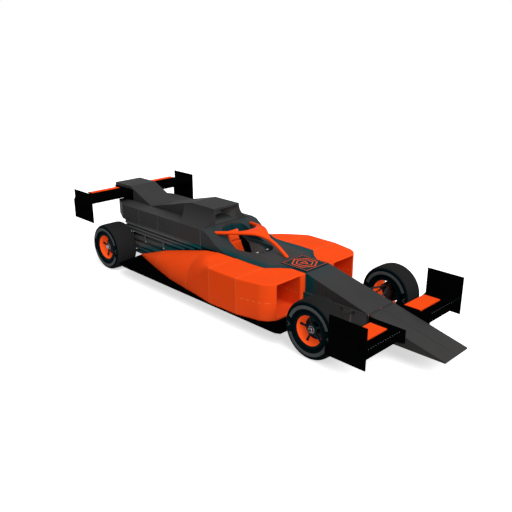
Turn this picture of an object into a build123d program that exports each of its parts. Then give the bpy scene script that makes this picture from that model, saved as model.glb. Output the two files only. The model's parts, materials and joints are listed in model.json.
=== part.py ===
from build123d import *
from math import cos, radians, sin
import os

os.makedirs("parts", exist_ok=True)

# Open wheel racing car in millimetres.
# +X points to the nose, +Y to the driver's left and +Z up. The origin is on the ground,
# on the centre line, halfway between the nose tip and the end of the tail.

# Layout along the car
nose_tip_x = 2791
nose_break_x = 1888
front_axle_x = nose_break_x - 338
bulkhead_x = 990
hoop_x = -560
cover_rear_x = -2300
rear_axle_x = -2240
tail_x = -2791

# Heights
floor_z = 190
floor_thickness = 18
deck_z = 655
shelf_z = 880
roof_z = 1100
nose_tip_z = 220
nose_break_z = 431
floor_top_z = floor_z + floor_thickness

# Half widths
floor_half_width = 890
front_tub_half_width = 250
tub_half_width = 215
spine_half_width = 220
cover_half_width = 455
seam_gap = 0.3

# Floor
floor_front_x = front_axle_x - 346
floor_rear_x = -1900
floor_corner_cut = 60
floor_tail_cut = 230
floor_tail_half_width = 480

with BuildPart() as floor:
    with BuildSketch(Plane.XY.offset(floor_z)):
        with BuildLine():
            Polyline(
                (floor_front_x, 0),
                (floor_front_x, floor_half_width - floor_corner_cut / 2),
                (floor_front_x - floor_corner_cut, floor_half_width),
                (floor_rear_x + floor_tail_cut, floor_half_width),
                (floor_rear_x + floor_corner_cut, floor_half_width - floor_corner_cut / 2),
                (floor_rear_x, floor_tail_half_width),
                (floor_rear_x, 0),
                close=True,
            )
        make_face()
        mirror(about=Plane.XZ)
    extrude(amount=floor_thickness)
floor.part.label = "floor"
export_step(floor.part, "parts/floor.step")

# Diffuser behind the floor: a rising panel with upright fences below it
diffuser_rear_x = -2620
diffuser_half_width = 290
diffuser_rise = 100
fence_thickness = 8
diffuser_fence_count = 5

with BuildPart() as diffuser:
    with BuildSketch(Plane.XZ):
        Polygon(
            (floor_rear_x, floor_top_z),
            (floor_rear_x, floor_z),
            (diffuser_rear_x, floor_z + diffuser_rise),
            (diffuser_rear_x, floor_top_z + diffuser_rise),
            align=None,
        )
    extrude(amount=diffuser_half_width, both=True)
    fence_pitch = (2 * diffuser_half_width - fence_thickness) / (diffuser_fence_count - 1)
    for number in range(diffuser_fence_count):
        fence_y = -diffuser_half_width + fence_thickness / 2 + number * fence_pitch
        with BuildSketch(Plane.XZ.offset(-fence_y)):
            Polygon(
                (floor_rear_x, floor_z),
                (diffuser_rear_x, floor_z),
                (diffuser_rear_x, floor_z + diffuser_rise + floor_thickness / 2),
                align=None,
            )
        extrude(amount=fence_thickness / 2, both=True)
diffuser.part.label = "diffuser"
export_step(diffuser.part, "parts/diffuser.step")

# Front tub: a box with the wedge shaped footwell on top
wedge_half_width = 215
nose_half_width = 230
nose_tip_half_width = 220
nose_lip = 15
footwell_depth = 390
footwell_half_width = 150
footwell_floor_z = 260
footwell_roof_z = 500
rack_x = front_axle_x - 110
rack_z = 330
rack_radius = 13
running_clearance = 0.05

with BuildPart() as front_tub:
    with BuildSketch(Plane.XY.offset(floor_top_z)):
        Polygon(
            (bulkhead_x, -front_tub_half_width),
            (nose_break_x, -front_tub_half_width),
            (nose_break_x, front_tub_half_width),
            (bulkhead_x, front_tub_half_width),
            align=None,
        )
    extrude(amount=nose_break_z - floor_top_z)
    with BuildSketch(Plane.XY.offset(nose_break_z)):
        Polygon(
            (bulkhead_x, -wedge_half_width),
            (nose_break_x, -nose_half_width),
            (nose_break_x, nose_half_width),
            (bulkhead_x, wedge_half_width),
            align=None,
        )
    extrude(amount=deck_z - nose_break_z)
    with BuildSketch(Plane.XZ):
        Polygon(
            (bulkhead_x, deck_z),
            (nose_break_x, nose_break_z),
            (nose_tip_x, nose_break_z),
            (nose_tip_x, roof_z),
            (bulkhead_x, roof_z),
            align=None,
        )
    extrude(amount=front_tub_half_width, both=True, mode=Mode.SUBTRACT)
    with BuildSketch(Plane.YZ.offset(bulkhead_x)):
        with Locations((0, (footwell_floor_z + footwell_roof_z) / 2)):
            Rectangle(2 * footwell_half_width, footwell_roof_z - footwell_floor_z)
    extrude(amount=footwell_depth, mode=Mode.SUBTRACT)
    with BuildSketch(Plane.XZ):
        with Locations((rack_x, rack_z)):
            Circle(rack_radius + running_clearance)
    extrude(amount=front_tub_half_width, both=True, mode=Mode.SUBTRACT)
front_tub.part.label = "front_tub"
export_step(front_tub.part, "parts/front_tub.step")

# Nose cone: a flat wedge that ends in a thin lip
with BuildPart() as nose_cone:
    with BuildSketch(Plane.XY.offset(nose_tip_z - nose_lip)):
        Polygon(
            (nose_break_x, -nose_half_width),
            (nose_tip_x, -nose_tip_half_width),
            (nose_tip_x, nose_tip_half_width),
            (nose_break_x, nose_half_width),
            align=None,
        )
    extrude(amount=nose_break_z - nose_tip_z + nose_lip)
    with BuildSketch(Plane.XZ):
        Polygon(
            (nose_break_x, nose_break_z),
            (nose_tip_x, nose_tip_z),
            (nose_tip_x, roof_z),
            (nose_break_x, roof_z),
            align=None,
        )
    extrude(amount=nose_half_width, both=True, mode=Mode.SUBTRACT)
nose_cone.part.label = "nose_cone"
export_step(nose_cone.part, "parts/nose_cone.step")

# Cockpit tub between the pods, with a hump that rises to the hoop
cockpit_front_x = 185
cockpit_rear_x = -470
cockpit_half_width = 165
cockpit_floor_z = 250
bowl_foot_z = 460
lip_z = deck_z + 5
lip_ledge = 0.4
tunnel_roof_z = 590

# Sections of the hump: x, outer half width, share of the rise there, rim half width, share of the rise there
tub_skin = 4
hump_rise = shelf_z - deck_z - tub_skin
hump_sections = [
    (800, tub_half_width + 2, 0, 200, 0.01),
    (683, 297, 0.005, 210, 0.01),
    (548, 440, 0.005, 210, 0.02),
    (318, 450, 0.005, 230, 0.04),
    (60, 440, 0.005, 240, 0.035),
    (-80, 440, 0.015, 240, 0.04),
    (-140, 442, 0.06, 240, 0.1),
    (-220, 445, 0.2, 240, 0.28),
    (-310, 448, 0.4, 240, 0.5),
    (-400, 452, 0.72, 240, 0.71),
    (-475, 454, 0.94, 240, 0.87),
    (hoop_x, cover_half_width, 1, 240, 1.005),
]

# Outline of the cockpit opening: x and half width at the lip, x and half width at the foot of the bowl
opening_table = [
    (205, 0, 185, 0),
    (140, 150, 130, 148),
    (20, 210, 10, 165),
    (-100, 236, -100, 165),
    (-260, 223, -240, 165),
    (-400, 203, -390, 165),
    (-485, 158, -465, 135),
    (-526, 62, -500, 55),
    (-534, 0, -508, 0),
]

with BuildPart() as tub:
    with BuildSketch(Plane.XY.offset(floor_top_z)):
        Polygon(
            (bulkhead_x, -tub_half_width),
            (bulkhead_x, tub_half_width),
            (hoop_x, tub_half_width),
            (hoop_x, -tub_half_width),
            align=None,
        )
    extrude(amount=deck_z - floor_top_z)
    for x, outer_y, outer_share, rim_y, rim_share in hump_sections:
        outer_z = deck_z + tub_skin + outer_share * hump_rise
        rim_z = deck_z + tub_skin + rim_share * hump_rise
        with BuildSketch(Plane.YZ.offset(x)):
            Polygon(
                (-outer_y, deck_z),
                (outer_y, deck_z),
                (outer_y, outer_z),
                (rim_y, rim_z),
                (-rim_y, rim_z),
                (-outer_y, outer_z),
                align=None,
            )
    loft(ruled=True)
    with BuildSketch(Plane.XY.offset(lip_z)):
        with BuildLine():
            Spline(*[(x, y) for x, y, foot_x, foot_y in opening_table], tangents=[(0, 1), (0, -1)])
            mirror(about=Plane.XZ)
        make_face()
    extrude(amount=roof_z - lip_z, mode=Mode.SUBTRACT)
    for level_z, share in ((lip_z, lip_ledge), (bowl_foot_z, 1)):
        with BuildSketch(Plane.XY.offset(level_z)):
            with BuildLine():
                outline = [(x + share * (foot_x - x), y + share * (foot_y - y)) for x, y, foot_x, foot_y in opening_table]
                Spline(*outline, tangents=[(0, 1), (0, -1)])
                mirror(about=Plane.XZ)
            make_face()
    loft(mode=Mode.SUBTRACT)
    with BuildSketch(Plane.XY.offset(cockpit_floor_z)):
        with Locations(((cockpit_front_x + cockpit_rear_x) / 2, 0)):
            Rectangle(cockpit_front_x - cockpit_rear_x, 2 * cockpit_half_width)
    extrude(amount=bowl_foot_z - cockpit_floor_z, mode=Mode.SUBTRACT)
    with BuildSketch(Plane.YZ.offset(cockpit_front_x - footwell_half_width)):
        with Locations((0, (footwell_floor_z + tunnel_roof_z) / 2)):
            Rectangle(2 * footwell_half_width, tunnel_roof_z - footwell_floor_z)
    extrude(amount=bulkhead_x - cockpit_front_x + footwell_half_width, mode=Mode.SUBTRACT)
tub.part.label = "tub"
export_step(tub.part, "parts/tub.step")

# Panel on the scuttle between the pods
panel_rear_x = 580
panel_half_width = 194
panel_thickness = 10
panel_seat_z = deck_z + 4

with BuildPart() as scuttle_panel:
    with BuildSketch(Plane.XY.offset(deck_z)):
        Polygon(
            (bulkhead_x, -panel_half_width),
            (bulkhead_x, panel_half_width),
            (panel_rear_x, panel_half_width),
            (panel_rear_x, -panel_half_width),
            align=None,
        )
    extrude(amount=panel_seat_z + panel_thickness - deck_z)
    add(tub.part, mode=Mode.SUBTRACT)
scuttle_panel.part.label = "scuttle_panel"
export_step(scuttle_panel.part, "parts/scuttle_panel.step")

# Sidepods: a flat block with a duct in front, then a tail that sweeps down and in
pod_break_x = 87
pod_outer_y = 893
pod_inner_y = tub_half_width + seam_gap
pod_tail_inner_y = 440
duct_wall = 22
duct_depth = 430
duct_inner_y = 300
duct_outer_y = 680
duct_floor_z = 250
duct_middle_y = (duct_inner_y + duct_outer_y) / 2
duct_middle_z = (duct_floor_z + deck_z - duct_wall) / 2

# Plan of the pod's front: x and half width at its break, side, start and middle of the corner, and front
pod_plan = [(pod_break_x, pod_outer_y), (542, 888), (808, 831), (943, 752), (bulkhead_x, 660)]

# Sections of the pod's tail: x, outer half width at the floor, share of the full height, shoulder radius
pod_height = deck_z - floor_top_z
pod_sections = [
    (pod_break_x, pod_outer_y, 1, 12),
    (-200, 850, 1, 200),
    (-450, 815, 0.94, 355),
    (-860, 755, 0.72, 300),
    (-1300, 640, 0.474, 185),
    (-1650, 540, 0.206, 80),
    (floor_rear_x + 10, 464, 0.031, 6),
]

pods = {}
for side_name, side in (("right", -1), ("left", 1)):
    with BuildPart() as sidepod:
        with BuildSketch(Plane.XY.offset(floor_top_z)):
            with BuildLine():
                plan = [(x, side * y) for x, y in pod_plan]
                Polyline(*plan[:3])
                ThreePointArc(*plan[2:])
                Polyline(
                    plan[-1],
                    (bulkhead_x, side * pod_inner_y),
                    (pod_break_x, side * pod_inner_y),
                    plan[0],
                )
            make_face()
        extrude(amount=deck_z - floor_top_z)
        with BuildSketch(Plane.YZ.offset(bulkhead_x)):
            with Locations((side * duct_middle_y, duct_middle_z)):
                Rectangle(duct_outer_y - duct_inner_y, deck_z - duct_wall - duct_floor_z)
        extrude(amount=-duct_depth, mode=Mode.SUBTRACT)
        for x, outer_y, share, radius in pod_sections:
            inner_y = pod_tail_inner_y
            top_z = floor_top_z + share * pod_height
            corner = radius * (1 - cos(radians(45)))
            with BuildSketch(Plane.YZ.offset(x)):
                with BuildLine():
                    Polyline(
                        (side * (outer_y - radius), top_z),
                        (side * inner_y, top_z),
                        (side * inner_y, floor_top_z),
                        (side * outer_y, floor_top_z),
                        (side * outer_y, top_z - radius),
                    )
                    ThreePointArc(
                        (side * outer_y, top_z - radius),
                        (side * (outer_y - corner), top_z - corner),
                        (side * (outer_y - radius), top_z),
                    )
                make_face()
        loft(ruled=True)
    sidepod.part.label = "sidepod_" + side_name
    export_step(sidepod.part, "parts/sidepod_" + side_name + ".step")
    pods[side_name] = sidepod.part

# Radiator cores that close the back of the ducts
radiator_thickness = 40

with BuildPart() as radiators:
    with BuildSketch(Plane.YZ.offset(bulkhead_x - duct_depth)):
        with Locations((duct_middle_y, duct_middle_z)):
            Rectangle(duct_outer_y - duct_inner_y, deck_z - duct_wall - duct_floor_z)
        mirror(about=Plane.YZ)
    extrude(amount=radiator_thickness)
radiators.part.label = "radiators"
export_step(radiators.part, "parts/radiators.step")

# Engine cover: a wide shelf with vertical sides and a swept rear edge, open below
cover_side_z = 668
cover_wall = 14
cover_sweep = 290
cover_tail_half_width = 310

with BuildPart() as engine_cover:
    with BuildSketch(Plane.XY.offset(cover_side_z)):
        cover_outline = Polygon(
            (hoop_x, -cover_half_width),
            (hoop_x, cover_half_width),
            (cover_rear_x, cover_half_width),
            (cover_rear_x - cover_sweep, cover_tail_half_width),
            (cover_rear_x - cover_sweep, -cover_tail_half_width),
            (cover_rear_x, -cover_half_width),
            align=None,
        )
    extrude(amount=shelf_z - cover_side_z)
    with BuildSketch(Plane.XY.offset(cover_side_z)):
        add(offset(cover_outline, amount=-cover_wall, mode=Mode.PRIVATE))
    extrude(amount=shelf_z - cover_wall - cover_side_z, mode=Mode.SUBTRACT)
engine_cover.part.label = "engine_cover"
export_step(engine_cover.part, "parts/engine_cover.step")

# Louvred flanks below the cover: sloping slats, a round pipe and lower slats
louvre_wall_y = 400
louvre_wall_thickness = 14
slat_reach = 40
slat_flare = 18
flange_thickness = 12
louvre_rear_x = -2070
slat_rear_x = -2250
pipe_z = 433
pipe_radius = 50
pipe_y = louvre_wall_y - louvre_wall_thickness
lower_reach = pod_tail_inner_y - seam_gap - slat_flare - louvre_wall_y

# Slats: height of the top edge, depth, front x, rear x, reach out of the wall, flare of the lower edge
slat_table = [
    (cover_side_z, flange_thickness, hoop_x, slat_rear_x, cover_half_width - louvre_wall_y - 2, 0),
    (654, 34, hoop_x, slat_rear_x, slat_reach, slat_flare),
    (599, 27, -700, slat_rear_x, slat_reach, slat_flare),
    (550, 22, -900, slat_rear_x, slat_reach, slat_flare),
    (378, 48, hoop_x, louvre_rear_x, lower_reach, slat_flare),
    (304, 28, hoop_x, louvre_rear_x, lower_reach, slat_flare),
    (249, 33, hoop_x, louvre_rear_x, lower_reach, slat_flare),
]

with BuildPart() as side_louvres:
    for wall_top_z, wall_bottom_z, wall_rear_x in (
        (cover_side_z, 525, slat_rear_x),
        (525, floor_top_z, floor_rear_x),
    ):
        with BuildSketch(Plane.XY.offset(wall_bottom_z)):
            Polygon(
                (hoop_x, louvre_wall_y),
                (hoop_x, louvre_wall_y - louvre_wall_thickness),
                (wall_rear_x, louvre_wall_y - louvre_wall_thickness),
                (wall_rear_x, louvre_wall_y),
                align=None,
            )
        extrude(amount=wall_top_z - wall_bottom_z)
    for slat_z, slat_height, front_x, rear_x, reach, flare in slat_table:
        with BuildSketch(Plane.YZ.offset(rear_x)):
            Polygon(
                (louvre_wall_y - louvre_wall_thickness, slat_z),
                (louvre_wall_y + reach, slat_z),
                (louvre_wall_y + reach + flare, slat_z - slat_height),
                (louvre_wall_y - louvre_wall_thickness, slat_z - slat_height),
                align=None,
            )
        extrude(amount=front_x - rear_x)
    with BuildSketch(Plane.YZ.offset(louvre_rear_x)):
        with Locations((pipe_y, pipe_z)):
            Circle(pipe_radius)
    extrude(amount=hoop_x - louvre_rear_x)
    mirror(about=Plane.XZ)
side_louvres.part.label = "side_louvres"
export_step(side_louvres.part, "parts/side_louvres.step")

# Airbox over the driver's head and the spine that runs down behind it
airbox_rear_x = -1024
spine_rear_x = -1914
airbox_wall = 20
airbox_depth = 330
fillet_rear_x = -1002
fillet_inner_rear_x = -1160

with BuildPart() as airbox:
    with BuildSketch(Plane.XZ):
        Polygon(
            (hoop_x, shelf_z),
            (hoop_x, roof_z),
            (airbox_rear_x, roof_z),
            (spine_rear_x, shelf_z + 2),
            (spine_rear_x, shelf_z),
            align=None,
        )
    extrude(amount=spine_half_width, both=True)
    rise = roof_z - shelf_z
    with BuildSketch(Plane.YZ.offset(hoop_x)):
        with BuildLine():
            Polyline(
                (spine_half_width, roof_z),
                (spine_half_width, shelf_z),
                (spine_half_width + rise, shelf_z),
            )
            ThreePointArc(
                (spine_half_width + rise, shelf_z),
                (spine_half_width + rise * (1 - cos(radians(45))), roof_z - rise * sin(radians(45))),
                (spine_half_width, roof_z),
            )
        make_face()
        mirror(about=Plane.YZ)
    extrude(amount=fillet_inner_rear_x - hoop_x)
    with BuildSketch(Plane.XY.offset(shelf_z)):
        Polygon(
            (fillet_rear_x, cover_half_width + 1),
            (fillet_inner_rear_x - 1, cover_half_width + 1),
            (fillet_inner_rear_x - 1, spine_half_width),
            (fillet_inner_rear_x, spine_half_width),
            align=None,
        )
        mirror(about=Plane.XZ)
    extrude(amount=roof_z - shelf_z, mode=Mode.SUBTRACT)
    with BuildSketch(Plane.XZ):
        Polygon(
            (hoop_x, roof_z),
            (airbox_rear_x, roof_z),
            (spine_rear_x, shelf_z + 2),
            (spine_rear_x, roof_z + airbox_wall),
            (hoop_x, roof_z + airbox_wall),
            align=None,
        )
    extrude(amount=cover_half_width, both=True, mode=Mode.SUBTRACT)
    with BuildSketch(Plane.YZ.offset(hoop_x)):
        with Locations((0, (shelf_z + roof_z) / 2)):
            Rectangle(2 * (spine_half_width - airbox_wall), roof_z - shelf_z - 2 * airbox_wall)
    extrude(amount=-airbox_depth, mode=Mode.SUBTRACT)
airbox.part.label = "airbox"
export_step(airbox.part, "parts/airbox.step")

# Tail cowl that ramps up to carry the rear wing
cowl_ramp_top_x = -2406
cowl_top_z = 1087
cowl_rear_base_z = 960

with BuildPart() as tail_cowl:
    with BuildSketch(Plane.XZ):
        Polygon(
            (spine_rear_x - seam_gap, shelf_z),
            (cowl_ramp_top_x, cowl_top_z),
            (tail_x, cowl_top_z),
            (tail_x, cowl_rear_base_z),
            (cover_rear_x - cover_sweep, shelf_z),
            align=None,
        )
    extrude(amount=spine_half_width, both=True)
tail_cowl.part.label = "tail_cowl"
export_step(tail_cowl.part, "parts/tail_cowl.step")

# Engine and gearbox behind the cockpit
engine_front_x = hoop_x - 60
engine_rear_x = -1220
engine_half_width = 230
engine_top_z = 650
gearbox_rear_x = -2350
gearbox_half_width = 116
gearbox_top_z = 560
gearbox_foot_z = 230

with BuildPart() as engine_block:
    with BuildSketch(Plane.XY.offset(floor_top_z)):
        Polygon(
            (engine_front_x, -engine_half_width),
            (engine_front_x, engine_half_width),
            (engine_rear_x, engine_half_width),
            (engine_rear_x, -engine_half_width),
            align=None,
        )
    extrude(amount=engine_top_z - floor_top_z)
engine_block.part.label = "engine_block"
export_step(engine_block.part, "parts/engine_block.step")

with BuildPart() as gearbox:
    for x, half_width, foot_z, top_z in (
        (engine_rear_x, engine_half_width, floor_top_z, engine_top_z),
        (floor_rear_x, gearbox_half_width, floor_top_z, gearbox_top_z + 30),
        (gearbox_rear_x, gearbox_half_width, floor_top_z + 0.67 * diffuser_rise, gearbox_top_z),
    ):
        with BuildSketch(Plane.YZ.offset(x)):
            with Locations((0, (foot_z + top_z) / 2)):
                Rectangle(2 * half_width, top_z - foot_z)
    loft(ruled=True)
gearbox.part.label = "gearbox"
export_step(gearbox.part, "parts/gearbox.step")

# Crash structure behind the gearbox, with the pin where a lifting jack engages
crash_rear_x = -2680
crash_half_width = 60
crash_base_z = 470
jack_pin_radius = 15
jack_pin_length = 60

with BuildPart() as crash_structure:
    for x, half_width, top_z in (
        (gearbox_rear_x, 100, gearbox_top_z - 10),
        (crash_rear_x, crash_half_width, gearbox_top_z - 30),
    ):
        with BuildSketch(Plane.YZ.offset(x)):
            with Locations((0, (crash_base_z + top_z) / 2)):
                Rectangle(2 * half_width, top_z - crash_base_z)
    loft(ruled=True)
    with BuildSketch(Plane.YZ.offset(crash_rear_x)):
        with Locations((0, (crash_base_z + gearbox_top_z - 30) / 2)):
            Circle(jack_pin_radius)
    extrude(amount=-jack_pin_length)
crash_structure.part.label = "crash_structure"
export_step(crash_structure.part, "parts/crash_structure.step")

# Pylon that joins gearbox and tail cowl
pylon_front_x = -2120
pylon_rear_x = -2320
pylon_half_thickness = 12

with BuildPart() as tail_pylon:
    with BuildSketch(Plane.XY.offset(gearbox_top_z - 20)):
        Polygon(
            (pylon_front_x, -pylon_half_thickness),
            (pylon_front_x, pylon_half_thickness),
            (pylon_rear_x, pylon_half_thickness),
            (pylon_rear_x, -pylon_half_thickness),
            align=None,
        )
    extrude(amount=shelf_z - cover_wall - gearbox_top_z + 20)
    add(gearbox.part, mode=Mode.SUBTRACT)
tail_pylon.part.label = "tail_pylon"
export_step(tail_pylon.part, "parts/tail_pylon.step")

# Wings: the same main plane, flap, end plate and inner fence serve front and rear
wing_half_span = 900
endplate_thickness = 10
flap_inner_y = 262
flap_outer_y = 745
wing_fence_height = 165
wing_chord = 451
post_thickness = 6
post_inset = 40
front_wing_x = nose_break_x + wing_chord
rear_wing_x = -2347

# Profile of the main plane: distance behind the leading edge, height from it
main_profile = [(18, 0), (150, -12), (150, -44), (412, -57), (412, -72), (260, -120), (18, -95), (0, -47)]
flap_profile = [(168, -12), (373, -12), (373, -22), (250, -34), (168, -30)]
post_profile = [(200, -26), (340, -20), (340, -70), (200, -60)]
fence_profile = [(0, -148), (0, 0), (wing_chord, 0), (wing_chord, -wing_fence_height), (60, -wing_fence_height)]

# name, leading edge x, height of the leading edge, inner y, end plate bottom, end plate top
wings = [
    ("front_wing", front_wing_x, 415, nose_half_width, 217, 663),
    ("rear_wing", rear_wing_x, 1045, spine_half_width, 679, 1094),
]

for wing_name, lead_x, lead_z, root_y, plate_bottom_z, plate_top_z in wings:
    with BuildPart() as main_plane:
        with BuildSketch(Plane.XZ.offset(-root_y - seam_gap - fence_thickness)):
            with BuildLine():
                section = [(lead_x - behind, lead_z + above) for behind, above in main_profile]
                Polyline(*section[:7])
                ThreePointArc(section[6], section[7], section[0])
            make_face()
        extrude(amount=-(wing_half_span - root_y - seam_gap - fence_thickness))
        mirror(about=Plane.XZ)
    main_plane.part.label = wing_name + "_main"
    export_step(main_plane.part, "parts/" + wing_name + "_main.step")

    with BuildPart() as flaps:
        with BuildSketch(Plane.XZ.offset(-flap_inner_y)):
            Polygon(*[(lead_x - behind, lead_z + above) for behind, above in flap_profile], align=None)
        extrude(amount=-(flap_outer_y - flap_inner_y))
        for post_y in (flap_inner_y + post_inset, flap_outer_y - post_inset):
            with BuildSketch(Plane.XZ.offset(-post_y)):
                Polygon(*[(lead_x - behind, lead_z + above) for behind, above in post_profile], align=None)
            extrude(amount=-post_thickness)
        add(main_plane.part, mode=Mode.SUBTRACT)
        mirror(about=Plane.XZ)
    flaps.part.label = wing_name + "_flaps"
    export_step(flaps.part, "parts/" + wing_name + "_flaps.step")

    with BuildPart() as endplates:
        with BuildSketch(Plane.XZ.offset(-wing_half_span)):
            Polygon(
                (lead_x, plate_bottom_z),
                (lead_x, plate_top_z),
                (lead_x - wing_chord, plate_top_z),
                (lead_x - wing_chord, lead_z - 60),
                (lead_x - wing_chord - 40, lead_z - 110),
                (lead_x - wing_chord - 40, plate_bottom_z),
                align=None,
            )
        extrude(amount=-endplate_thickness)
        with BuildSketch(Plane.XZ.offset(-root_y - seam_gap)):
            Polygon(*[(lead_x - behind, lead_z + above) for behind, above in fence_profile], align=None)
        extrude(amount=-fence_thickness)
        mirror(about=Plane.XZ)
    endplates.part.label = wing_name + "_endplates"
    export_step(endplates.part, "parts/" + wing_name + "_endplates.step")

# Halo: two arms that run forward round the driver and join over a web into one curved stem
halo_radius = 24
halo_foot_x = 518
halo_web_thickness = 30
halo_web_radius = 215
halo_web_rear_x = -115

# Centre line of an arm: x, half width, height
halo_arm_table = [
    (-445, 311, 829),
    (-297, 257, 850),
    (-133, 193, 870),
    (-20, 140, 882),
    (90, 68, 872),
    (190, 6, 830),
]

# Centre line of the stem: x, height
halo_stem_table = [(halo_foot_x, deck_z), (406, 732), (305, 787), (197, 827), (150, 845)]

# Sections of the web between the arms: x, half width, height
halo_web_table = [(-210, 222, 860), (-133, 193, 870), (-20, 140, 882), (90, 68, 872), (185, 12, 832)]

with BuildPart() as halo_web:
    for x, half_width, z in halo_web_table:
        with BuildSketch(Plane.YZ.offset(x)):
            with Locations((0, z)):
                Rectangle(2 * half_width, halo_web_thickness)
    loft()
    with BuildSketch(Plane.XY.offset(deck_z)):
        with Locations((halo_web_rear_x - halo_web_radius, 0)):
            Circle(halo_web_radius)
    extrude(amount=roof_z - deck_z, mode=Mode.SUBTRACT)

with BuildPart() as halo:
    for side in (1, -1):
        with BuildLine() as arm_path:
            Spline(*[(x, side * y, z) for x, y, z in halo_arm_table])
        with BuildSketch(Plane(arm_path.line @ 0, z_dir=arm_path.line % 0)):
            Circle(halo_radius)
        sweep(path=arm_path.line)
    with BuildLine() as stem_path:
        Spline(*[(x, 0, z) for x, z in halo_stem_table])
    with BuildSketch(Plane(stem_path.line @ 0, z_dir=stem_path.line % 0)):
        Circle(halo_radius)
    sweep(path=stem_path.line)
    add(halo_web.part)
    add(tub.part, mode=Mode.SUBTRACT)
halo.part.label = "halo"
export_step(halo.part, "parts/halo.step")

# Seat and headrest in the cockpit: side profiles as x and z
seat_half_width = 95
headrest_half_width = 85
seat_top_z = lip_z
seat_profile = [
    (cockpit_rear_x, cockpit_floor_z),
    (cockpit_rear_x, seat_top_z),
    (-394, seat_top_z),
    (-380, 615),
    (-317, 507),
    (-230, 380),
    (-100, 320),
    (80, 310),
    (110, cockpit_floor_z),
]
headrest_rear_x = -505
headrest_profile = [
    (headrest_rear_x, seat_top_z),
    (headrest_rear_x, 806),
    (-480, 832),
    (-448, 815),
    (-413, 706),
    (-398, seat_top_z),
]

with BuildPart() as seat:
    with BuildSketch(Plane.XZ):
        Polygon(*seat_profile, align=None)
    extrude(amount=seat_half_width, both=True)
seat.part.label = "seat"
export_step(seat.part, "parts/seat.step")

with BuildPart() as headrest:
    with BuildSketch(Plane.XZ):
        Polygon(*headrest_profile, align=None)
    extrude(amount=headrest_half_width, both=True)
headrest.part.label = "headrest"
export_step(headrest.part, "parts/headrest.step")

# Steering column on a bracket under the scuttle, and the wheel on its end
column_tilt = 20
wheel_centre_x = 110
wheel_centre_z = 580
column_bracket_height = 110
bracket_thickness = 20
bracket_setback = 50
column_radius = 14
column_length = 330
steering_wheel_half_width = 130
steering_wheel_half_height = 85
steering_wheel_thickness = 24

column_plane = Plane(
    origin=(wheel_centre_x, 0, wheel_centre_z),
    x_dir=(0, -1, 0),
    z_dir=(-cos(radians(column_tilt)), 0, sin(radians(column_tilt))),
)

with BuildPart() as steering_column:
    with BuildSketch(column_plane.offset(-steering_wheel_thickness / 2 - seam_gap)):
        Circle(column_radius)
    extrude(amount=-column_length)
    with BuildSketch(Plane.YZ.offset(cockpit_front_x + bracket_setback)):
        with Locations((0, tunnel_roof_z - column_bracket_height / 2)):
            Rectangle(2 * footwell_half_width, column_bracket_height)
    extrude(amount=bracket_thickness)
steering_column.part.label = "steering_column"
export_step(steering_column.part, "parts/steering_column.step")

with BuildPart() as steering_wheel:
    with BuildSketch(column_plane.offset(-steering_wheel_thickness / 2)):
        RectangleRounded(2 * steering_wheel_half_width, 2 * steering_wheel_half_height, 40)
        with Locations((steering_wheel_half_width - 38, 0), (38 - steering_wheel_half_width, 0)):
            SlotOverall(100, 44, rotation=90, mode=Mode.SUBTRACT)
    extrude(amount=steering_wheel_thickness)
steering_wheel.part.label = "steering_wheel"
export_step(steering_wheel.part, "parts/steering_wheel.step")

# Wheels: name, axle x, side, tyre radius, inner face, outer face
wheel_table = [
    ("front_right", front_axle_x, -1, 330, 550, 822),
    ("front_left", front_axle_x, 1, 330, 550, 822),
    ("rear_right", rear_axle_x, -1, 324, 490, 826),
    ("rear_left", rear_axle_x, 1, 324, 490, 826),
]
rim_radius = 166
rim_wall = 5
rim_flange_radius = 196
tyre_bead_radius = rim_flange_radius - 12
shoulder_radius = 45
tyre_wall = 14
spindle_radius = 20
hub_radius = 34
disc_radius = 125
spoke_count = 5
hub_offset = 80
kingpin_y = 655
upright_half_width = 30
kingpin_radius = 8
arm_level = 95
eye_height = 22
arm_plate_lift = 12
rod_pin_radius = 5
driveshaft_radius = 14
driveshaft_inner_y = 130

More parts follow.
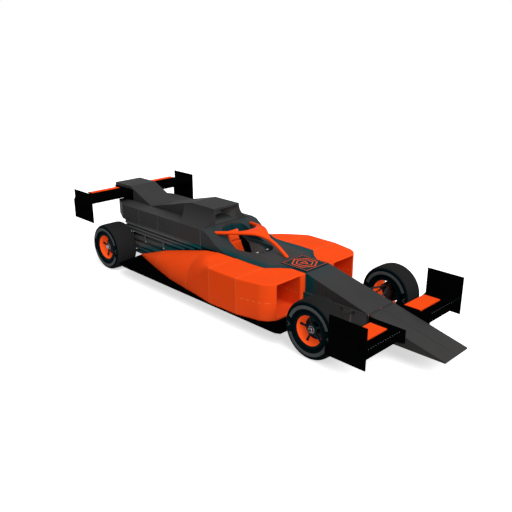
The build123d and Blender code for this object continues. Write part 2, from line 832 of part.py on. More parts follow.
for corner, axle_x, side, tyre_radius, inner_y, outer_y in wheel_table:
    middle_y = (inner_y + outer_y) / 2
    half_width = (outer_y - inner_y) / 2
    section_plane = Plane(origin=(axle_x, side * middle_y, tyre_radius), x_dir=(0, side, 0), z_dir=(side, 0, 0))
    axle = Axis((axle_x, 0, tyre_radius), (0, side, 0))

    with BuildPart() as tyre:
        with BuildSketch(section_plane):
            with BuildLine():
                bead_x = half_width - 26
                bulge_x = half_width
                Polyline((-bead_x, tyre_bead_radius), (-bead_x, rim_flange_radius + 1))
                ThreePointArc(
                    (-bead_x, rim_flange_radius + 1),
                    (-bulge_x, (rim_flange_radius + tyre_radius - shoulder_radius) / 2 + 10),
                    (-bulge_x + 4, tyre_radius - shoulder_radius),
                )
                ThreePointArc(
                    (-bulge_x + 4, tyre_radius - shoulder_radius),
                    (-bulge_x + 4 + shoulder_radius * 0.29, tyre_radius - shoulder_radius * 0.29),
                    (-bulge_x + 4 + shoulder_radius, tyre_radius),
                )
                Polyline((-bulge_x + 4 + shoulder_radius, tyre_radius), (bulge_x - 4 - shoulder_radius, tyre_radius))
                ThreePointArc(
                    (bulge_x - 4 - shoulder_radius, tyre_radius),
                    (bulge_x - 4 - shoulder_radius * 0.29, tyre_radius - shoulder_radius * 0.29),
                    (bulge_x - 4, tyre_radius - shoulder_radius),
                )
                ThreePointArc(
                    (bulge_x - 4, tyre_radius - shoulder_radius),
                    (bulge_x, (rim_flange_radius + tyre_radius - shoulder_radius) / 2 + 10),
                    (bead_x, rim_flange_radius + 1),
                )
                Polyline(
                    (bead_x, rim_flange_radius + 1),
                    (bead_x, tyre_bead_radius),
                    (bead_x - tyre_wall, tyre_bead_radius),
                    (bead_x - tyre_wall + 8, tyre_radius - shoulder_radius),
                    (bead_x - tyre_wall - 20, tyre_radius - tyre_wall),
                    (tyre_wall + 20 - bead_x, tyre_radius - tyre_wall),
                    (tyre_wall - 8 - bead_x, tyre_radius - shoulder_radius),
                    (tyre_wall - bead_x, tyre_bead_radius),
                    (-bead_x, tyre_bead_radius),
                )
            make_face()
        revolve(axis=axle)
    tyre.part.label = "tyre_" + corner
    export_step(tyre.part, "parts/tyre_" + corner + ".step")

    with BuildPart() as rim:
        with BuildSketch(section_plane):
            seat_x = half_width - 26
            Polygon(
                (-seat_x + 8, rim_radius),
                (seat_x - 8, rim_radius),
                (seat_x + 10, rim_radius + 2),
                (seat_x + 10, rim_flange_radius),
                (seat_x + 0.3, rim_flange_radius),
                (seat_x + 0.3, tyre_bead_radius - 0.3),
                (seat_x - tyre_wall - 4, tyre_bead_radius - 0.3),
                (seat_x - tyre_wall - 16, rim_radius + rim_wall),
                (tyre_wall + 16 - seat_x, rim_radius + rim_wall),
                (tyre_wall + 4 - seat_x, tyre_bead_radius - 0.3),
                (-seat_x - 0.3, tyre_bead_radius - 0.3),
                (-seat_x - 0.3, rim_flange_radius),
                (-seat_x - 10, rim_flange_radius),
                (-seat_x - 10, rim_radius + 2),
                align=None,
            )
        revolve(axis=axle)
    rim.part.label = "rim_" + corner
    export_step(rim.part, "parts/rim_" + corner + ".step")

    hub_plane = Plane(origin=(axle_x, side * kingpin_y, tyre_radius), x_dir=(1, 0, 0), z_dir=(0, side, 0))
    hub_section = Plane(origin=hub_plane.origin, x_dir=(0, side, 0), z_dir=(side, 0, 0))
    with BuildPart() as spokes:
        with BuildSketch(hub_plane.offset(hub_offset)):
            Circle(rim_radius - seam_gap)
            Circle(rim_radius - 12, mode=Mode.SUBTRACT)
            Circle(62)
            with PolarLocations(0, spoke_count):
                with Locations((62 + (rim_radius - 70) / 2, 0)):
                    Rectangle(rim_radius - 66, 30)
            Circle(spindle_radius + 8 + seam_gap, mode=Mode.SUBTRACT)
        extrude(amount=18)
    spokes.part.label = "spokes_" + corner
    export_step(spokes.part, "parts/spokes_" + corner + ".step")

    driven = axle_x == rear_axle_x
    with BuildPart() as hub:
        with BuildSketch(hub_section):
            inner_profile = [(34, spindle_radius + running_clearance)]
            outer_profile = [(hub_offset + 48, spindle_radius + running_clearance)]
            if driven:
                shaft_end = driveshaft_inner_y - kingpin_y
                inner_profile = [
                    (shaft_end, 0),
                    (shaft_end, 2 * driveshaft_radius),
                    (shaft_end + 60, 2 * driveshaft_radius),
                    (shaft_end + 90, driveshaft_radius),
                    (-upright_half_width - 8, driveshaft_radius),
                    (-upright_half_width - 8, spindle_radius),
                    (34, spindle_radius),
                ]
                outer_profile = [(hub_offset + 48, 0)]
            Polygon(
                *inner_profile,
                (34, hub_radius),
                (37, hub_radius),
                (37, disc_radius),
                (51, disc_radius),
                (51, hub_radius),
                (hub_offset - 12, hub_radius),
                (hub_offset - 12, 60),
                (hub_offset, 60),
                (hub_offset, spindle_radius + 8),
                (hub_offset + 18.3, spindle_radius + 8),
                (hub_offset + 18.3, hub_radius - 2),
                (hub_offset + 44, hub_radius - 2),
                (hub_offset + 48, hub_radius - 8),
                *outer_profile,
                align=None,
            )
        revolve(axis=axle)
    hub.part.label = "hub_" + corner
    export_step(hub.part, "parts/hub_" + corner + ".step")

    # Upright: the front ones carry a stub axle and a steering arm, the rear ones a bore
    with BuildPart() as upright:
        with BuildSketch(hub_section):
            Polygon(
                (-upright_half_width, 0),
                (-upright_half_width, 42),
                (upright_half_width - 2, 42),
                (upright_half_width - 2, hub_radius),
                (33, hub_radius),
                (33, 0),
                align=None,
            )
        revolve(axis=axle)
        with BuildSketch(hub_plane.offset(-upright_half_width)):
            Rectangle(56, 2 * (arm_level - eye_height))
        extrude(amount=2 * upright_half_width - 6)
        with BuildSketch(Plane.XY.offset(tyre_radius - arm_level - eye_height)):
            with Locations((axle_x, side * kingpin_y)):
                Circle(kingpin_radius)
        extrude(amount=2 * arm_level + 2 * eye_height)
        if driven:
            with BuildSketch(hub_plane.offset(-upright_half_width)):
                Circle(spindle_radius + running_clearance)
            extrude(amount=2 * hub_offset, mode=Mode.SUBTRACT)
        else:
            with BuildSketch(hub_plane):
                Circle(spindle_radius)
            extrude(amount=hub_offset + 58)
            with BuildSketch(Plane.XY.offset(rack_z + arm_plate_lift)):
                with Locations(((axle_x + rack_x) / 2 - 7, side * kingpin_y)):
                    Rectangle(axle_x - rack_x + 14, 26)
            extrude(amount=14)
            with BuildSketch(Plane.XY.offset(rack_z + arm_plate_lift)):
                with Locations((rack_x, side * kingpin_y)):
                    Circle(rod_pin_radius)
            extrude(amount=-2 * arm_plate_lift)
    upright.part.label = "upright_" + corner
    export_step(upright.part, "parts/upright_" + corner + ".step")

# Wishbones: a pair of arms above and below each axle, from the chassis to an eye round the kingpin
arm_radius = 11
eye_radius = 21
pickup_depth = 16
front_pickup_reach = 150
rear_pickup_reach = 110
pushrod_radius = 9
pushrod_foot_y = 612
pushrod_top_z = 405

# node name, axle x, axle z, chassis y, reach fore and aft, height of the lower and upper pickups
axle_table = [
    ("front_wishbones", front_axle_x, 330, front_tub_half_width, front_pickup_reach, 240, 415),
    ("rear_wishbones", rear_axle_x, 324, gearbox_half_width, rear_pickup_reach, 330, 480),
]

for arm_name, axle_x, axle_z, chassis_y, reach, lower_z, upper_z in axle_table:
    with BuildPart() as wishbones:
        for eye_z, pickup_z in ((axle_z - arm_level, lower_z), (axle_z + arm_level, upper_z)):
            eye_centre = Vector(axle_x, kingpin_y, eye_z)
            for direction in (-1, 1):
                start = Vector(axle_x + direction * reach, chassis_y + seam_gap + pickup_depth / 2, pickup_z)
                with BuildSketch(Plane(origin=start, z_dir=eye_centre - start)):
                    Circle(arm_radius)
                extrude(amount=(eye_centre - start).length - eye_radius / 2)
                with BuildSketch(Plane.XZ.offset(-chassis_y - seam_gap)):
                    with Locations((axle_x + direction * reach, pickup_z)):
                        RectangleRounded(34, 30, 8)
                extrude(amount=-pickup_depth)
            with BuildSketch(Plane.XY.offset(eye_z - eye_height / 2)):
                with Locations((axle_x, kingpin_y)):
                    Circle(eye_radius)
            extrude(amount=eye_height)
            with BuildSketch(Plane.XY.offset(eye_z - eye_height)):
                with Locations((axle_x, kingpin_y)):
                    Circle(kingpin_radius + running_clearance)
            extrude(amount=2 * eye_height, mode=Mode.SUBTRACT)
        if axle_x == front_axle_x:
            foot = Vector(axle_x, pushrod_foot_y, axle_z - arm_level)
            top = Vector(axle_x, chassis_y + seam_gap + pickup_depth / 2, pushrod_top_z)
            with BuildSketch(Plane(origin=foot, z_dir=top - foot)):
                Circle(pushrod_radius)
            extrude(amount=(top - foot).length)
            with BuildSketch(Plane.XZ.offset(-chassis_y - seam_gap)):
                with Locations((axle_x, pushrod_top_z)):
                    RectangleRounded(34, 30, 8)
            extrude(amount=-pickup_depth)
        mirror(about=Plane.XZ)
    wishbones.part.label = arm_name
    export_step(wishbones.part, "parts/" + arm_name + ".step")

# Steering rack: a bar that slides across the tub, with a track rod to each steering arm
rack_half_length = front_tub_half_width + 70
rod_radius = 8
rod_eye_half_height = 9
rod_eye_radius = 18
rod_eye_gap = 4.5

with BuildPart() as steering_rack:
    with BuildSketch(Plane.XZ):
        with Locations((rack_x, rack_z)):
            Circle(rack_radius)
    extrude(amount=rack_half_length, both=True)
    with BuildSketch(Plane.XZ):
        with Locations((rack_x, rack_z)):
            Circle(rod_radius)
    extrude(amount=kingpin_y - rod_eye_radius + 4, both=True)
    for side in (-1, 1):
        with BuildSketch(Plane.XY.offset(rack_z - rod_eye_half_height)):
            with Locations((rack_x, side * kingpin_y)):
                Circle(rod_eye_radius)
        extrude(amount=2 * rod_eye_half_height)
        with BuildSketch(Plane.XY.offset(rack_z - rod_eye_half_height)):
            with Locations((rack_x, side * kingpin_y)):
                Circle(rod_pin_radius + rod_eye_gap)
        extrude(amount=2 * rod_eye_half_height, mode=Mode.SUBTRACT)
steering_rack.part.label = "steering_rack"
export_step(steering_rack.part, "parts/steering_rack.step")
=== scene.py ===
import bpy, bmesh, json
from functools import partial
from math import radians, pi, cos, sin
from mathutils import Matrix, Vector


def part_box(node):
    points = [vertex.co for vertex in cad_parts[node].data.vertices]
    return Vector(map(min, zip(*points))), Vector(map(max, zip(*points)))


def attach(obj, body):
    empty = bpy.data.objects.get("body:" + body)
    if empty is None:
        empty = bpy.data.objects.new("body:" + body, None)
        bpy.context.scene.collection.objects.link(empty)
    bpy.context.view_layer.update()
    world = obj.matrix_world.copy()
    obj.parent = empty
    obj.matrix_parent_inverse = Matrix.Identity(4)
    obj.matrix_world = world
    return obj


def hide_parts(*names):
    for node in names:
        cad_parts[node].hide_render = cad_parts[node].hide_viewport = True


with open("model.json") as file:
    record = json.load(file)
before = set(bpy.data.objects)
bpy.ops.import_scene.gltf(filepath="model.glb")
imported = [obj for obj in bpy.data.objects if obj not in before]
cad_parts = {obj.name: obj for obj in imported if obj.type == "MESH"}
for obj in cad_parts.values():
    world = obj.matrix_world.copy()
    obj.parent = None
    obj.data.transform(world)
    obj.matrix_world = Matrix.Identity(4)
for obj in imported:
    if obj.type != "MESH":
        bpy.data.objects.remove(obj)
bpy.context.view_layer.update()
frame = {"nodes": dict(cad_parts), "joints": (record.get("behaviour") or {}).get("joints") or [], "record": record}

nodes = frame["nodes"]
anchors = {joint["name"]: Vector(joint["pos_m"]) for joint in frame["joints"] if "pos_m" in joint}
middlePlane = Vector((1, 0, 1))
frontAxle = anchors["spin_front_right"] * middlePlane
rearAxle = anchors["spin_rear_right"] * middlePlane
mergeDistance = 0.00002
smooth = {"interpolation_type": "SMOOTHSTEP"}  # for a MapRange that eases in and out
inColour = {"data_type": "RGBA"}  # for a Mix of two colours


def toLinear(hexColour):
    channels = [int(hexColour[i:i + 2], 16) / 255 for i in (1, 3, 5)]
    return [c / 12.92 if c <= 0.04045 else ((c + 0.055) / 1.055) ** 2.4 for c in channels] + [1]


def feed(node, key, value):
    # sets an attribute or input: a node or its socket is linked, and a hex colour is made linear
    if isinstance(value, bpy.types.Node):
        value = next(output for output in value.outputs if output.enabled)
    if isinstance(value, bpy.types.NodeSocket):
        node.id_data.links.new(value, node.inputs[key])
    elif isinstance(key, str) and hasattr(node, key):
        setattr(node, key, value)
    else:
        node.inputs[key].default_value = toLinear(value) if isinstance(value, str) else value


def addNode(tree, kind, parts=None):
    # parts: attributes by name, and inputs by name or number, each with its value or what is linked to it;
    # MapRange's 1 to 4 are its ranges, and Mix's 6 and 7 its two colours
    node = tree.nodes.new("ShaderNode" + kind)
    for key, value in (parts or {}).items():
        feed(node, key, value)
    return node


def newMaterial(name, roughness=0.5, metallic=0.0, specular=0.5):
    material = bpy.data.materials.new(name)
    material.use_nodes = True
    add = partial(addNode, material.node_tree)
    shader = material.node_tree.nodes["Principled BSDF"]
    feed(shader, "Roughness", roughness)
    feed(shader, "Metallic", metallic)
    feed(shader, "Specular IOR Level", specular)
    return material, add, shader, add("TexCoord").outputs["Object"]


def addWear(add, shader, place, base, clouds, dust, roughness, grain):
    # clouds: scale, colour and strength; dust: strength; roughness: from and to;
    # grain: size in mm, depth in mm and strength
    cloud = add("TexNoise", {"Scale": clouds[0], "Detail": 4.0, "Vector": place})
    cloudAmount = add("MapRange", {0: cloud, 1: 0.42, 2: 0.7, 3: 0.0, 4: clouds[2]})
    clouded = add("Mix", {**inColour, 0: cloudAmount, 6: base, 7: clouds[1]})
    height = add("SeparateXYZ", {0: place}).outputs["Z"]
    low = add("MapRange", {0: height, 1: 0.42, 2: 0.1, 3: 0.0, 4: dust})
    speckle = add("TexNoise", {"Scale": 38.0, "Detail": 6.0, "Roughness": 0.7, "Vector": place})
    dustAmount = add("Math", {"operation": "MULTIPLY", "use_clamp": True, 0: low, 1: speckle})
    feed(shader, "Base Color", add("Mix", {**inColour, 0: dustAmount, 6: clouded, 7: "#6E6258"}))
    feed(shader, "Roughness", add("MapRange", {0: speckle, 1: 0.3, 2: 0.7, 3: roughness[0], 4: roughness[1]}))
    pores = add("TexNoise", {"Scale": 1000 / grain[0], "Detail": 3.0, "Vector": place})
    feed(shader, "Normal", add("Bump", {"Strength": grain[2], "Distance": grain[1] / 1000, "Height": pores}))


def addTone(add, shader, amount, colours, relief, depth, strength):
    # two colours mixed by amount, and a relief with its depth in mm
    feed(shader, "Base Color", add("Mix", {**inColour, 0: amount, 6: colours[0], 7: colours[1]}))
    feed(shader, "Normal", add("Bump", {"Strength": strength, "Distance": depth / 1000, "Height": relief}))


def rubEdges(add, base, bareAndPaintedShade, start, full, strength):
    # the base colour, with the bare one along sharp edges
    edge = add("NewGeometry").outputs["Pointiness"]
    rubbed = add("MapRange", {0: edge, 1: start, 2: full, 3: 0.0, 4: strength})
    return add("Mix", {**inColour, 0: rubbed, 6: base, 7: bareAndPaintedShade})


def facingUp(add):
    # 1 on faces that look up, 0 on upright ones
    return add("SeparateXYZ", {0: add("NewGeometry").outputs["Normal"]}).outputs["Z"]


def addLines(add, place, base, lines, lineColour):
    # thin panel seams: axis (0 X, 1 Y, 2 Z) and place, limits on other axes, dash period where broken
    axes = add("SeparateXYZ", {0: place}).outputs
    covered = None
    for line in lines:
        across = axes[line["axis"]]
        mask = add("Math", {"operation": "COMPARE", 0: across, 1: line["at"], 2: line["width"] / 2})
        for axis, low, high in line.get("limits", ()):
            middle, half = (low + high) / 2, (high - low) / 2
            inside = add("Math", {"operation": "COMPARE", 0: axes[axis], 1: middle, 2: half})
            mask = add("Math", {"operation": "MULTIPLY", 0: mask, 1: inside})
        if "dash" in line:
            count = add("Math", {"operation": "DIVIDE", 0: axes[line["dashAxis"]], 1: line["dash"]})
            part = add("Math", {"operation": "FRACT", 0: count})
            shown = add("Math", {"operation": "LESS_THAN", 0: part, 1: 0.6})
            mask = add("Math", {"operation": "MULTIPLY", 0: mask, 1: shown})
        covered = mask if covered is None else add("Math", {"operation": "MAXIMUM", 0: covered, 1: mask})
    return add("Mix", {**inColour, 0: covered, 6: base, 7: lineColour})


podSeams = [{"axis": 0, "at": at, "width": 0.005} for at in (0.542, 0.087, -0.45)] + [
    {"axis": 0, "at": -1.3, "width": 0.009, "dash": 0.05, "dashAxis": 2},
    {"axis": 2, "at": 0.43, "width": 0.007, "limits": [(0, 0.56, 0.985)], "dash": 0.075, "dashAxis": 0},
    {"axis": 2, "at": 0.606, "width": 0.007, "limits": [(0, 0.6, 0.985), (1, -0.32, 0.32)],
     "dash": 0.06, "dashAxis": 0},
]


def podPaint():
    # sprayed polyurethane on carbon laminate: an even satin orange, faint orange peel and light panel seams
    material, add, shader, place = newMaterial("orangePaintedComposite", specular=0.004)
    seamed = addLines(add, place, "#FF5019", podSeams, "#FF8048")
    addWear(add, shader, place, seamed, clouds=(1.8, "#E84A18", 0.35), dust=0.16, roughness=(0.4, 0.56),
            grain=(6, 0.15, 0.35))
    return material


def trimPaint():
    # the same orange on small parts, whose edges have rubbed paler
    material, add, shader, place = newMaterial("orangePaintedTrim", specular=0.006)
    worn = rubEdges(add, "#FF5019", "#FF7838", 0.52, 0.62, 0.25)
    addWear(add, shader, place, worn, clouds=(5.0, "#E5491A", 0.4), dust=0.1, roughness=(0.3, 0.5),
            grain=(4, 0.1, 0.3))
    return material


def greyPaint(name, colour="#393939", lines=None, lineColour=None):
    # matt grey lacquer over carbon laminate: flat, a little cloudy, with fine pores
    material, add, shader, place = newMaterial(name, specular=0.03)
    base = addLines(add, place, colour, lines, lineColour) if lines else colour
    addWear(add, shader, place, base, clouds=(2.2, "#323333", 0.5), dust=0.12, roughness=(0.5, 0.68),
            grain=(5, 0.2, 0.35))
    return material


def flapPaint(name, shownFrom, shownTo, innerEnd):
    # orange over black: the colour stops short of the ends and of one long edge, with a dark red band of painted
    # shade where it stops
    material, add, shader, place = newMaterial(name, specular=0.0)
    axes = add("SeparateXYZ", {0: place}).outputs
    side = add("Math", {"operation": "ABSOLUTE", 0: axes["Y"]})
    along = add("MapRange", {**smooth, 0: axes["X"], 1: shownFrom, 2: shownTo})
    outward = add("MapRange", {**smooth, 0: side, 1: 0.74, 2: 0.715})
    inward = add("MapRange", {0: side, 1: innerEnd, 2: innerEnd + 0.012})
    across = add("Math", {"operation": "MULTIPLY", 0: inward, 1: outward})
    shown = add("Math", {"operation": "MULTIPLY", 0: along, 1: across})
    ragged = add("TexNoise", {"Scale": 22.0, "Detail": 2.0, "Vector": place})
    wavy = add("MapRange", {0: ragged, 1: 0.3, 2: 0.7, 3: -0.2, 4: 0.2})
    amount = add("Math", {"operation": "ADD", "use_clamp": True, 0: shown, 1: wavy})
    ramp = add("ValToRGB", {0: amount})
    stops = ramp.color_ramp.elements
    stops.new(0.45)
    # the dark red middle stop is painted shade
    for stop, position, colour in zip(stops, (0.25, 0.45, 0.62), ("#050505", "#7A0E02", "#FF5019")):
        stop.position = position
        stop.color = toLinear(colour)
    addWear(add, shader, place, ramp, clouds=(5.0, "#E5491A", 0.0), dust=0.05, roughness=(0.4, 0.56),
            grain=(4, 0.1, 0.3))
    return material


def airboxPaint():
    # the grey again, with painted light inside the intake: its walls paler than its floor, palest at its back
    material, add, shader, place = newMaterial("greyPaintedAirbox", specular=0.03)
    axes = add("SeparateXYZ", {0: place}).outputs
    side = add("Math", {"operation": "ABSOLUTE", 0: axes["Y"]})
    between = add("Math", {"operation": "LESS_THAN", 0: side, 1: 0.2015})
    level = add("Math", {"operation": "COMPARE", 0: axes["Z"], 1: 0.99, 2: 0.092})
    ahead = add("Math", {"operation": "COMPARE", 0: axes["X"], 1: -0.71, 2: 0.18})
    framed = add("Math", {"operation": "MULTIPLY", 0: between, 1: level})
    inside = add("Math", {"operation": "MULTIPLY", 0: framed, 1: ahead})
    deeper = add("MapRange", {0: axes["X"], 1: -0.56, 2: -0.7})
    paintedLightByDepth = add("Mix", {**inColour, 0: deeper, 6: "#525454", 7: "#8E9090"})
    flat = add("MapRange", {0: facingUp(add), 1: 0.6, 2: 0.8})
    # painted light: upright walls paler than the floor
    lining = add("Mix", {**inColour, 0: flat, 6: paintedLightByDepth, 7: "#484A4A"})
    coat = add("Mix", {**inColour, 0: inside, 6: "#343434", 7: lining})
    addWear(add, shader, place, coat, clouds=(2.2, "#323333", 0.3), dust=0.0, roughness=(0.5, 0.68),
            grain=(5, 0.2, 0.35))
    return material


coverSeams = [{"axis": 0, "at": at, "width": width, "limits": [(2, 0.66, 0.872)]}
              for at, width in ((-1.895, 0.007), (-1.462, 0.007), (-0.566, 0.009))]
noseSeams = [
    {"axis": 1, "at": 0.0, "width": 0.006, "limits": [(0, 1.9, 2.78)]},
    {"axis": 0, "at": 1.896, "width": 0.012, "dash": 0.045, "dashAxis": 1},
]
tubFrames = [
    {"axis": 0, "at": 1.3, "width": 0.006, "limits": [(2, 0.2, 0.52)]},
    {"axis": 0, "at": 1.88, "width": 0.012, "dash": 0.045, "dashAxis": 1},
]
# painted light: a paler band low on each side where a lit ledge is, and a paler line where a lit post is
litLedgeBands = [{"axis": 2, "at": 0.31, "width": 0.22, "limits": [(0, 1.4, 1.88)]}]
litPostLines = [{"axis": 0, "at": 1.665, "width": 0.018, "limits": [(2, 0.2, 0.42)]}]


def tealPaintedShade(add, place, axes, side):
    # how much teal painted shade there is: along the outer border, in a band by the rear rim, and on the walls
    # inside the lip
    edge = add("MapRange", {0: axes["X"], 1: 0.54, 2: 0.8, 3: 0.452, 4: 0.2})
    inset = add("Math", {"operation": "SUBTRACT", 0: edge, 1: side})
    border = add("MapRange", {**smooth, 0: inset, 1: 0.05, 2: 0.18, 3: 1.0, 4: 0.0})
    lowDown = add("MapRange", {**smooth, 0: axes["Z"], 1: 0.73, 2: 0.66, 3: 0.2, 4: 1.0})
    edging = add("Math", {"operation": "MULTIPLY", 0: border, 1: lowDown})
    rimGap = add("Math", {"operation": "SUBTRACT", 0: side, 1: 0.25})
    gap = add("Math", {"operation": "ABSOLUTE", 0: rimGap})
    nearRim = add("MapRange", {**smooth, 0: gap, 1: 0.1, 2: 0.0, 3: 0.0, 4: 0.45})
    rearward = add("MapRange", {**smooth, 0: axes["X"], 1: -0.08, 2: -0.22})
    rimBand = add("Math", {"operation": "MULTIPLY", 0: nearRim, 1: rearward})
    outside = add("Math", {"operation": "MAXIMUM", 0: edging, 1: rimBand})
    lean = add("Math", {"operation": "ABSOLUTE", 0: facingUp(add)})
    upright = add("MapRange", {**smooth, 0: lean, 1: 0.35, 2: 0.12})
    rise = add("Math", {"operation": "MULTIPLY_ADD", 0: axes["X"], 1: 0.25, 2: axes["Z"]})
    high = add("MapRange", {**smooth, 0: rise, 1: 0.56, 2: 0.6})
    belowRim = add("MapRange", {**smooth, 0: axes["Z"], 1: 0.865, 2: 0.83, 3: 0.1, 4: 1.0})
    levels = add("Math", {"operation": "MULTIPLY", 0: belowRim, 1: high})
    within = add("Math", {"operation": "LESS_THAN", 0: side, 1: 0.27})
    highWithin = add("Math", {"operation": "MULTIPLY", 0: within, 1: levels})
    insideWall = add("Math", {"operation": "MULTIPLY", 0: upright, 1: highWithin})
    bareAndPaintedShade = add("Math", {"operation": "MAXIMUM", 0: outside, 1: insideWall})
    drift = add("TexNoise", {"Scale": 5.0, "Detail": 2.0, "Vector": place})
    softened = add("MapRange", {0: drift, 1: 0.3, 2: 0.7, 3: 0.8, 4: 1.0})
    return add("Math", {"operation": "MULTIPLY", 0: bareAndPaintedShade, 1: softened})


def paintedShadowBesideSeat(add, axes, side):
    # near-black painted shadow on the walls beside and behind the seat back
    slope = add("Math", {"operation": "MULTIPLY_ADD", 0: axes["Z"], 1: 0.5475, 2: axes["X"]})
    behind = add("MapRange", {0: slope, 1: 0.002, 2: -0.006})
    between = add("Math", {"operation": "LESS_THAN", 0: side, 1: 0.185})
    under = add("MapRange", {0: axes["Z"], 1: 0.72, 2: 0.7})
    narrow = add("Math", {"operation": "MULTIPLY", 0: under, 1: between})
    return add("Math", {"operation": "MULTIPLY", 0: narrow, 1: behind})


def tubLacquerAndPaintedShade():
    # the cockpit surround: grey lacquer with dark teal painted shade near the seams and inside the lip;
    # painted light makes the lacquer paler down in the bowl, and a near-black painted shadow lies beside the seat
    material, add, shader, place = newMaterial("greyLacquerWithPaintedShade", specular=0.03)
    axes = add("SeparateXYZ", {0: place}).outputs
    side = add("Math", {"operation": "ABSOLUTE", 0: axes["Y"]})
    # painted light: the lacquer is paler down in the bowl
    paintedLightInBowl = add("MapRange", {**smooth, 0: axes["Z"], 1: 0.65, 2: 0.6})
    lacquerAndPaintedLight = add("Mix", {**inColour, 0: paintedLightInBowl, 6: "#393939", 7: "#6C7878"})
    # teal painted shade mixed over the lacquer
    teal = add("Mix", {**inColour, 0: tealPaintedShade(add, place, axes, side), 6: lacquerAndPaintedLight, 7: "#00383D"})
    # near-black painted shadow beside the seat
    coat = add("Mix", {**inColour, 0: paintedShadowBesideSeat(add, axes, side), 6: teal, 7: "#04070C"})
    addWear(add, shader, place, coat, clouds=(2.2, "#2C3333", 0.25), dust=0.1, roughness=(0.45, 0.62),
            grain=(5, 0.2, 0.3))
    return material


def frontTubPaint():
    # the same grey, with teal painted shade on the sides where the tub meets the pods
    material, add, shader, place = newMaterial("greyTubLacquer", specular=0.03)
    along = add("SeparateXYZ", {0: place}).outputs["X"]
    # teal painted shade, stronger on faces that do not look up
    near = add("MapRange", {**smooth, 0: along, 1: 1.05, 2: 1.2, 3: 1.0, 4: 0.0})
    sides = add("MapRange", {0: facingUp(add), 1: 0.75, 2: 0.5, 3: 0.15, 4: 1.0})
    amount = add("Math", {"operation": "MULTIPLY", 0: near, 1: sides})
    coat = add("Mix", {**inColour, 0: amount, 6: "#3A3A3A", 7: "#00474D"})
    # painted light for the lit ledge and post
    framed = addLines(add, place, coat, litLedgeBands, "#505252")
    posted = addLines(add, place, framed, litPostLines, "#7A7C7C")
    seamed = addLines(add, place, posted, tubFrames, "#1A1A1A")
    addWear(add, shader, place, seamed, clouds=(2.2, "#323333", 0.5), dust=0.1, roughness=(0.5, 0.68),
            grain=(5, 0.2, 0.35))
    return material


slatVents = [{"axis": 2, "at": 0.602, "width": 0.026, "limits": [(0, -2.22, -0.72)],
              "dash": 0.036, "dashAxis": 0}]


def louvrePaint():
    # grey lacquered slats, paler than the body's grey as painted light, with teal painted shade towards their
    # front lower ends
    material, add, shader, place = newMaterial("greySlatLacquer", specular=0.04)
    axes = add("SeparateXYZ", {0: place}).outputs
    slope = add("Math", {"operation": "MULTIPLY_ADD", 0: axes["X"], 1: -0.3, 2: axes["Z"]})
    # teal painted shade towards the front lower ends
    bareAndPaintedShade = add("MapRange", {**smooth, 0: slope, 1: 0.93, 2: 0.84})
    coat = add("Mix", {**inColour, 0: bareAndPaintedShade, 6: "#545555", 7: "#00464B"})
    vented = addLines(add, place, coat, slatVents, "#060606")
    addWear(add, shader, place, vented, clouds=(6.0, "#464848", 0.5), dust=0.12, roughness=(0.45, 0.65),
            grain=(4, 0.15, 0.3))
    return material


def panelPaint():
    # dark teal base coat, a little glossier than the grey
    material, add, shader, place = newMaterial("tealPaintedComposite", specular=0.01)
    addWear(add, shader, place, "#002E33", clouds=(9.0, "#042A2E", 0.5), dust=0.0, roughness=(0.32, 0.5),
            grain=(4, 0.1, 0.3))
    return material


def carbonTwill(name, ribPitch, ribColour):
    # lacquered carbon twill: near black, with the slanted ribs of the weave; real ribs are 3 mm apart,
    # and they are drawn wider apart so that they show
    material, add, shader, place = newMaterial(name, specular=0.0)
    slant = add("VectorMath", {"operation": "DOT_PRODUCT", 0: place, 1: (0.89, 0.36, 0.45)})
    turns = add("Math", {"operation": "MULTIPLY", 0: slant, 1: 2 * pi / ribPitch})
    rib = add("Math", {"operation": "SINE", 0: turns})
    cross = add("VectorMath", {"operation": "DOT_PRODUCT", 0: place, 1: (0.45, 0.36, -0.89)})
    crossTurns = add("Math", {"operation": "MULTIPLY", 0: cross, 1: 4 * pi / ribPitch})
    crossRib = add("Math", {"operation": "SINE", 0: crossTurns})
    weave = add("Math", {"operation": "MULTIPLY_ADD", 0: crossRib, 1: 0.35, 2: rib})
    ribAmount = add("MapRange", {0: weave, 1: -0.6, 2: 1.3})
    tow = add("Mix", {**inColour, 0: ribAmount, 6: "#010102", 7: ribColour})
    addWear(add, shader, place, tow, clouds=(7.0, "#020303", 0.5), dust=0.0, roughness=(0.3, 0.48),
            grain=(3, 0.08, 0.25))
    return material


def aboutAxle(add, place, axle):
    # coordinates from the axle, and the distance from it
    centred = add("Mapping", {"Location": (-axle.x, 0, -axle.z), 0: place})
    axes = add("SeparateXYZ", {0: centred}).outputs
    flat = add("CombineXYZ", {0: axes["X"], 2: axes["Z"]})
    return axes, add("VectorMath", {"operation": "LENGTH", 0: flat})


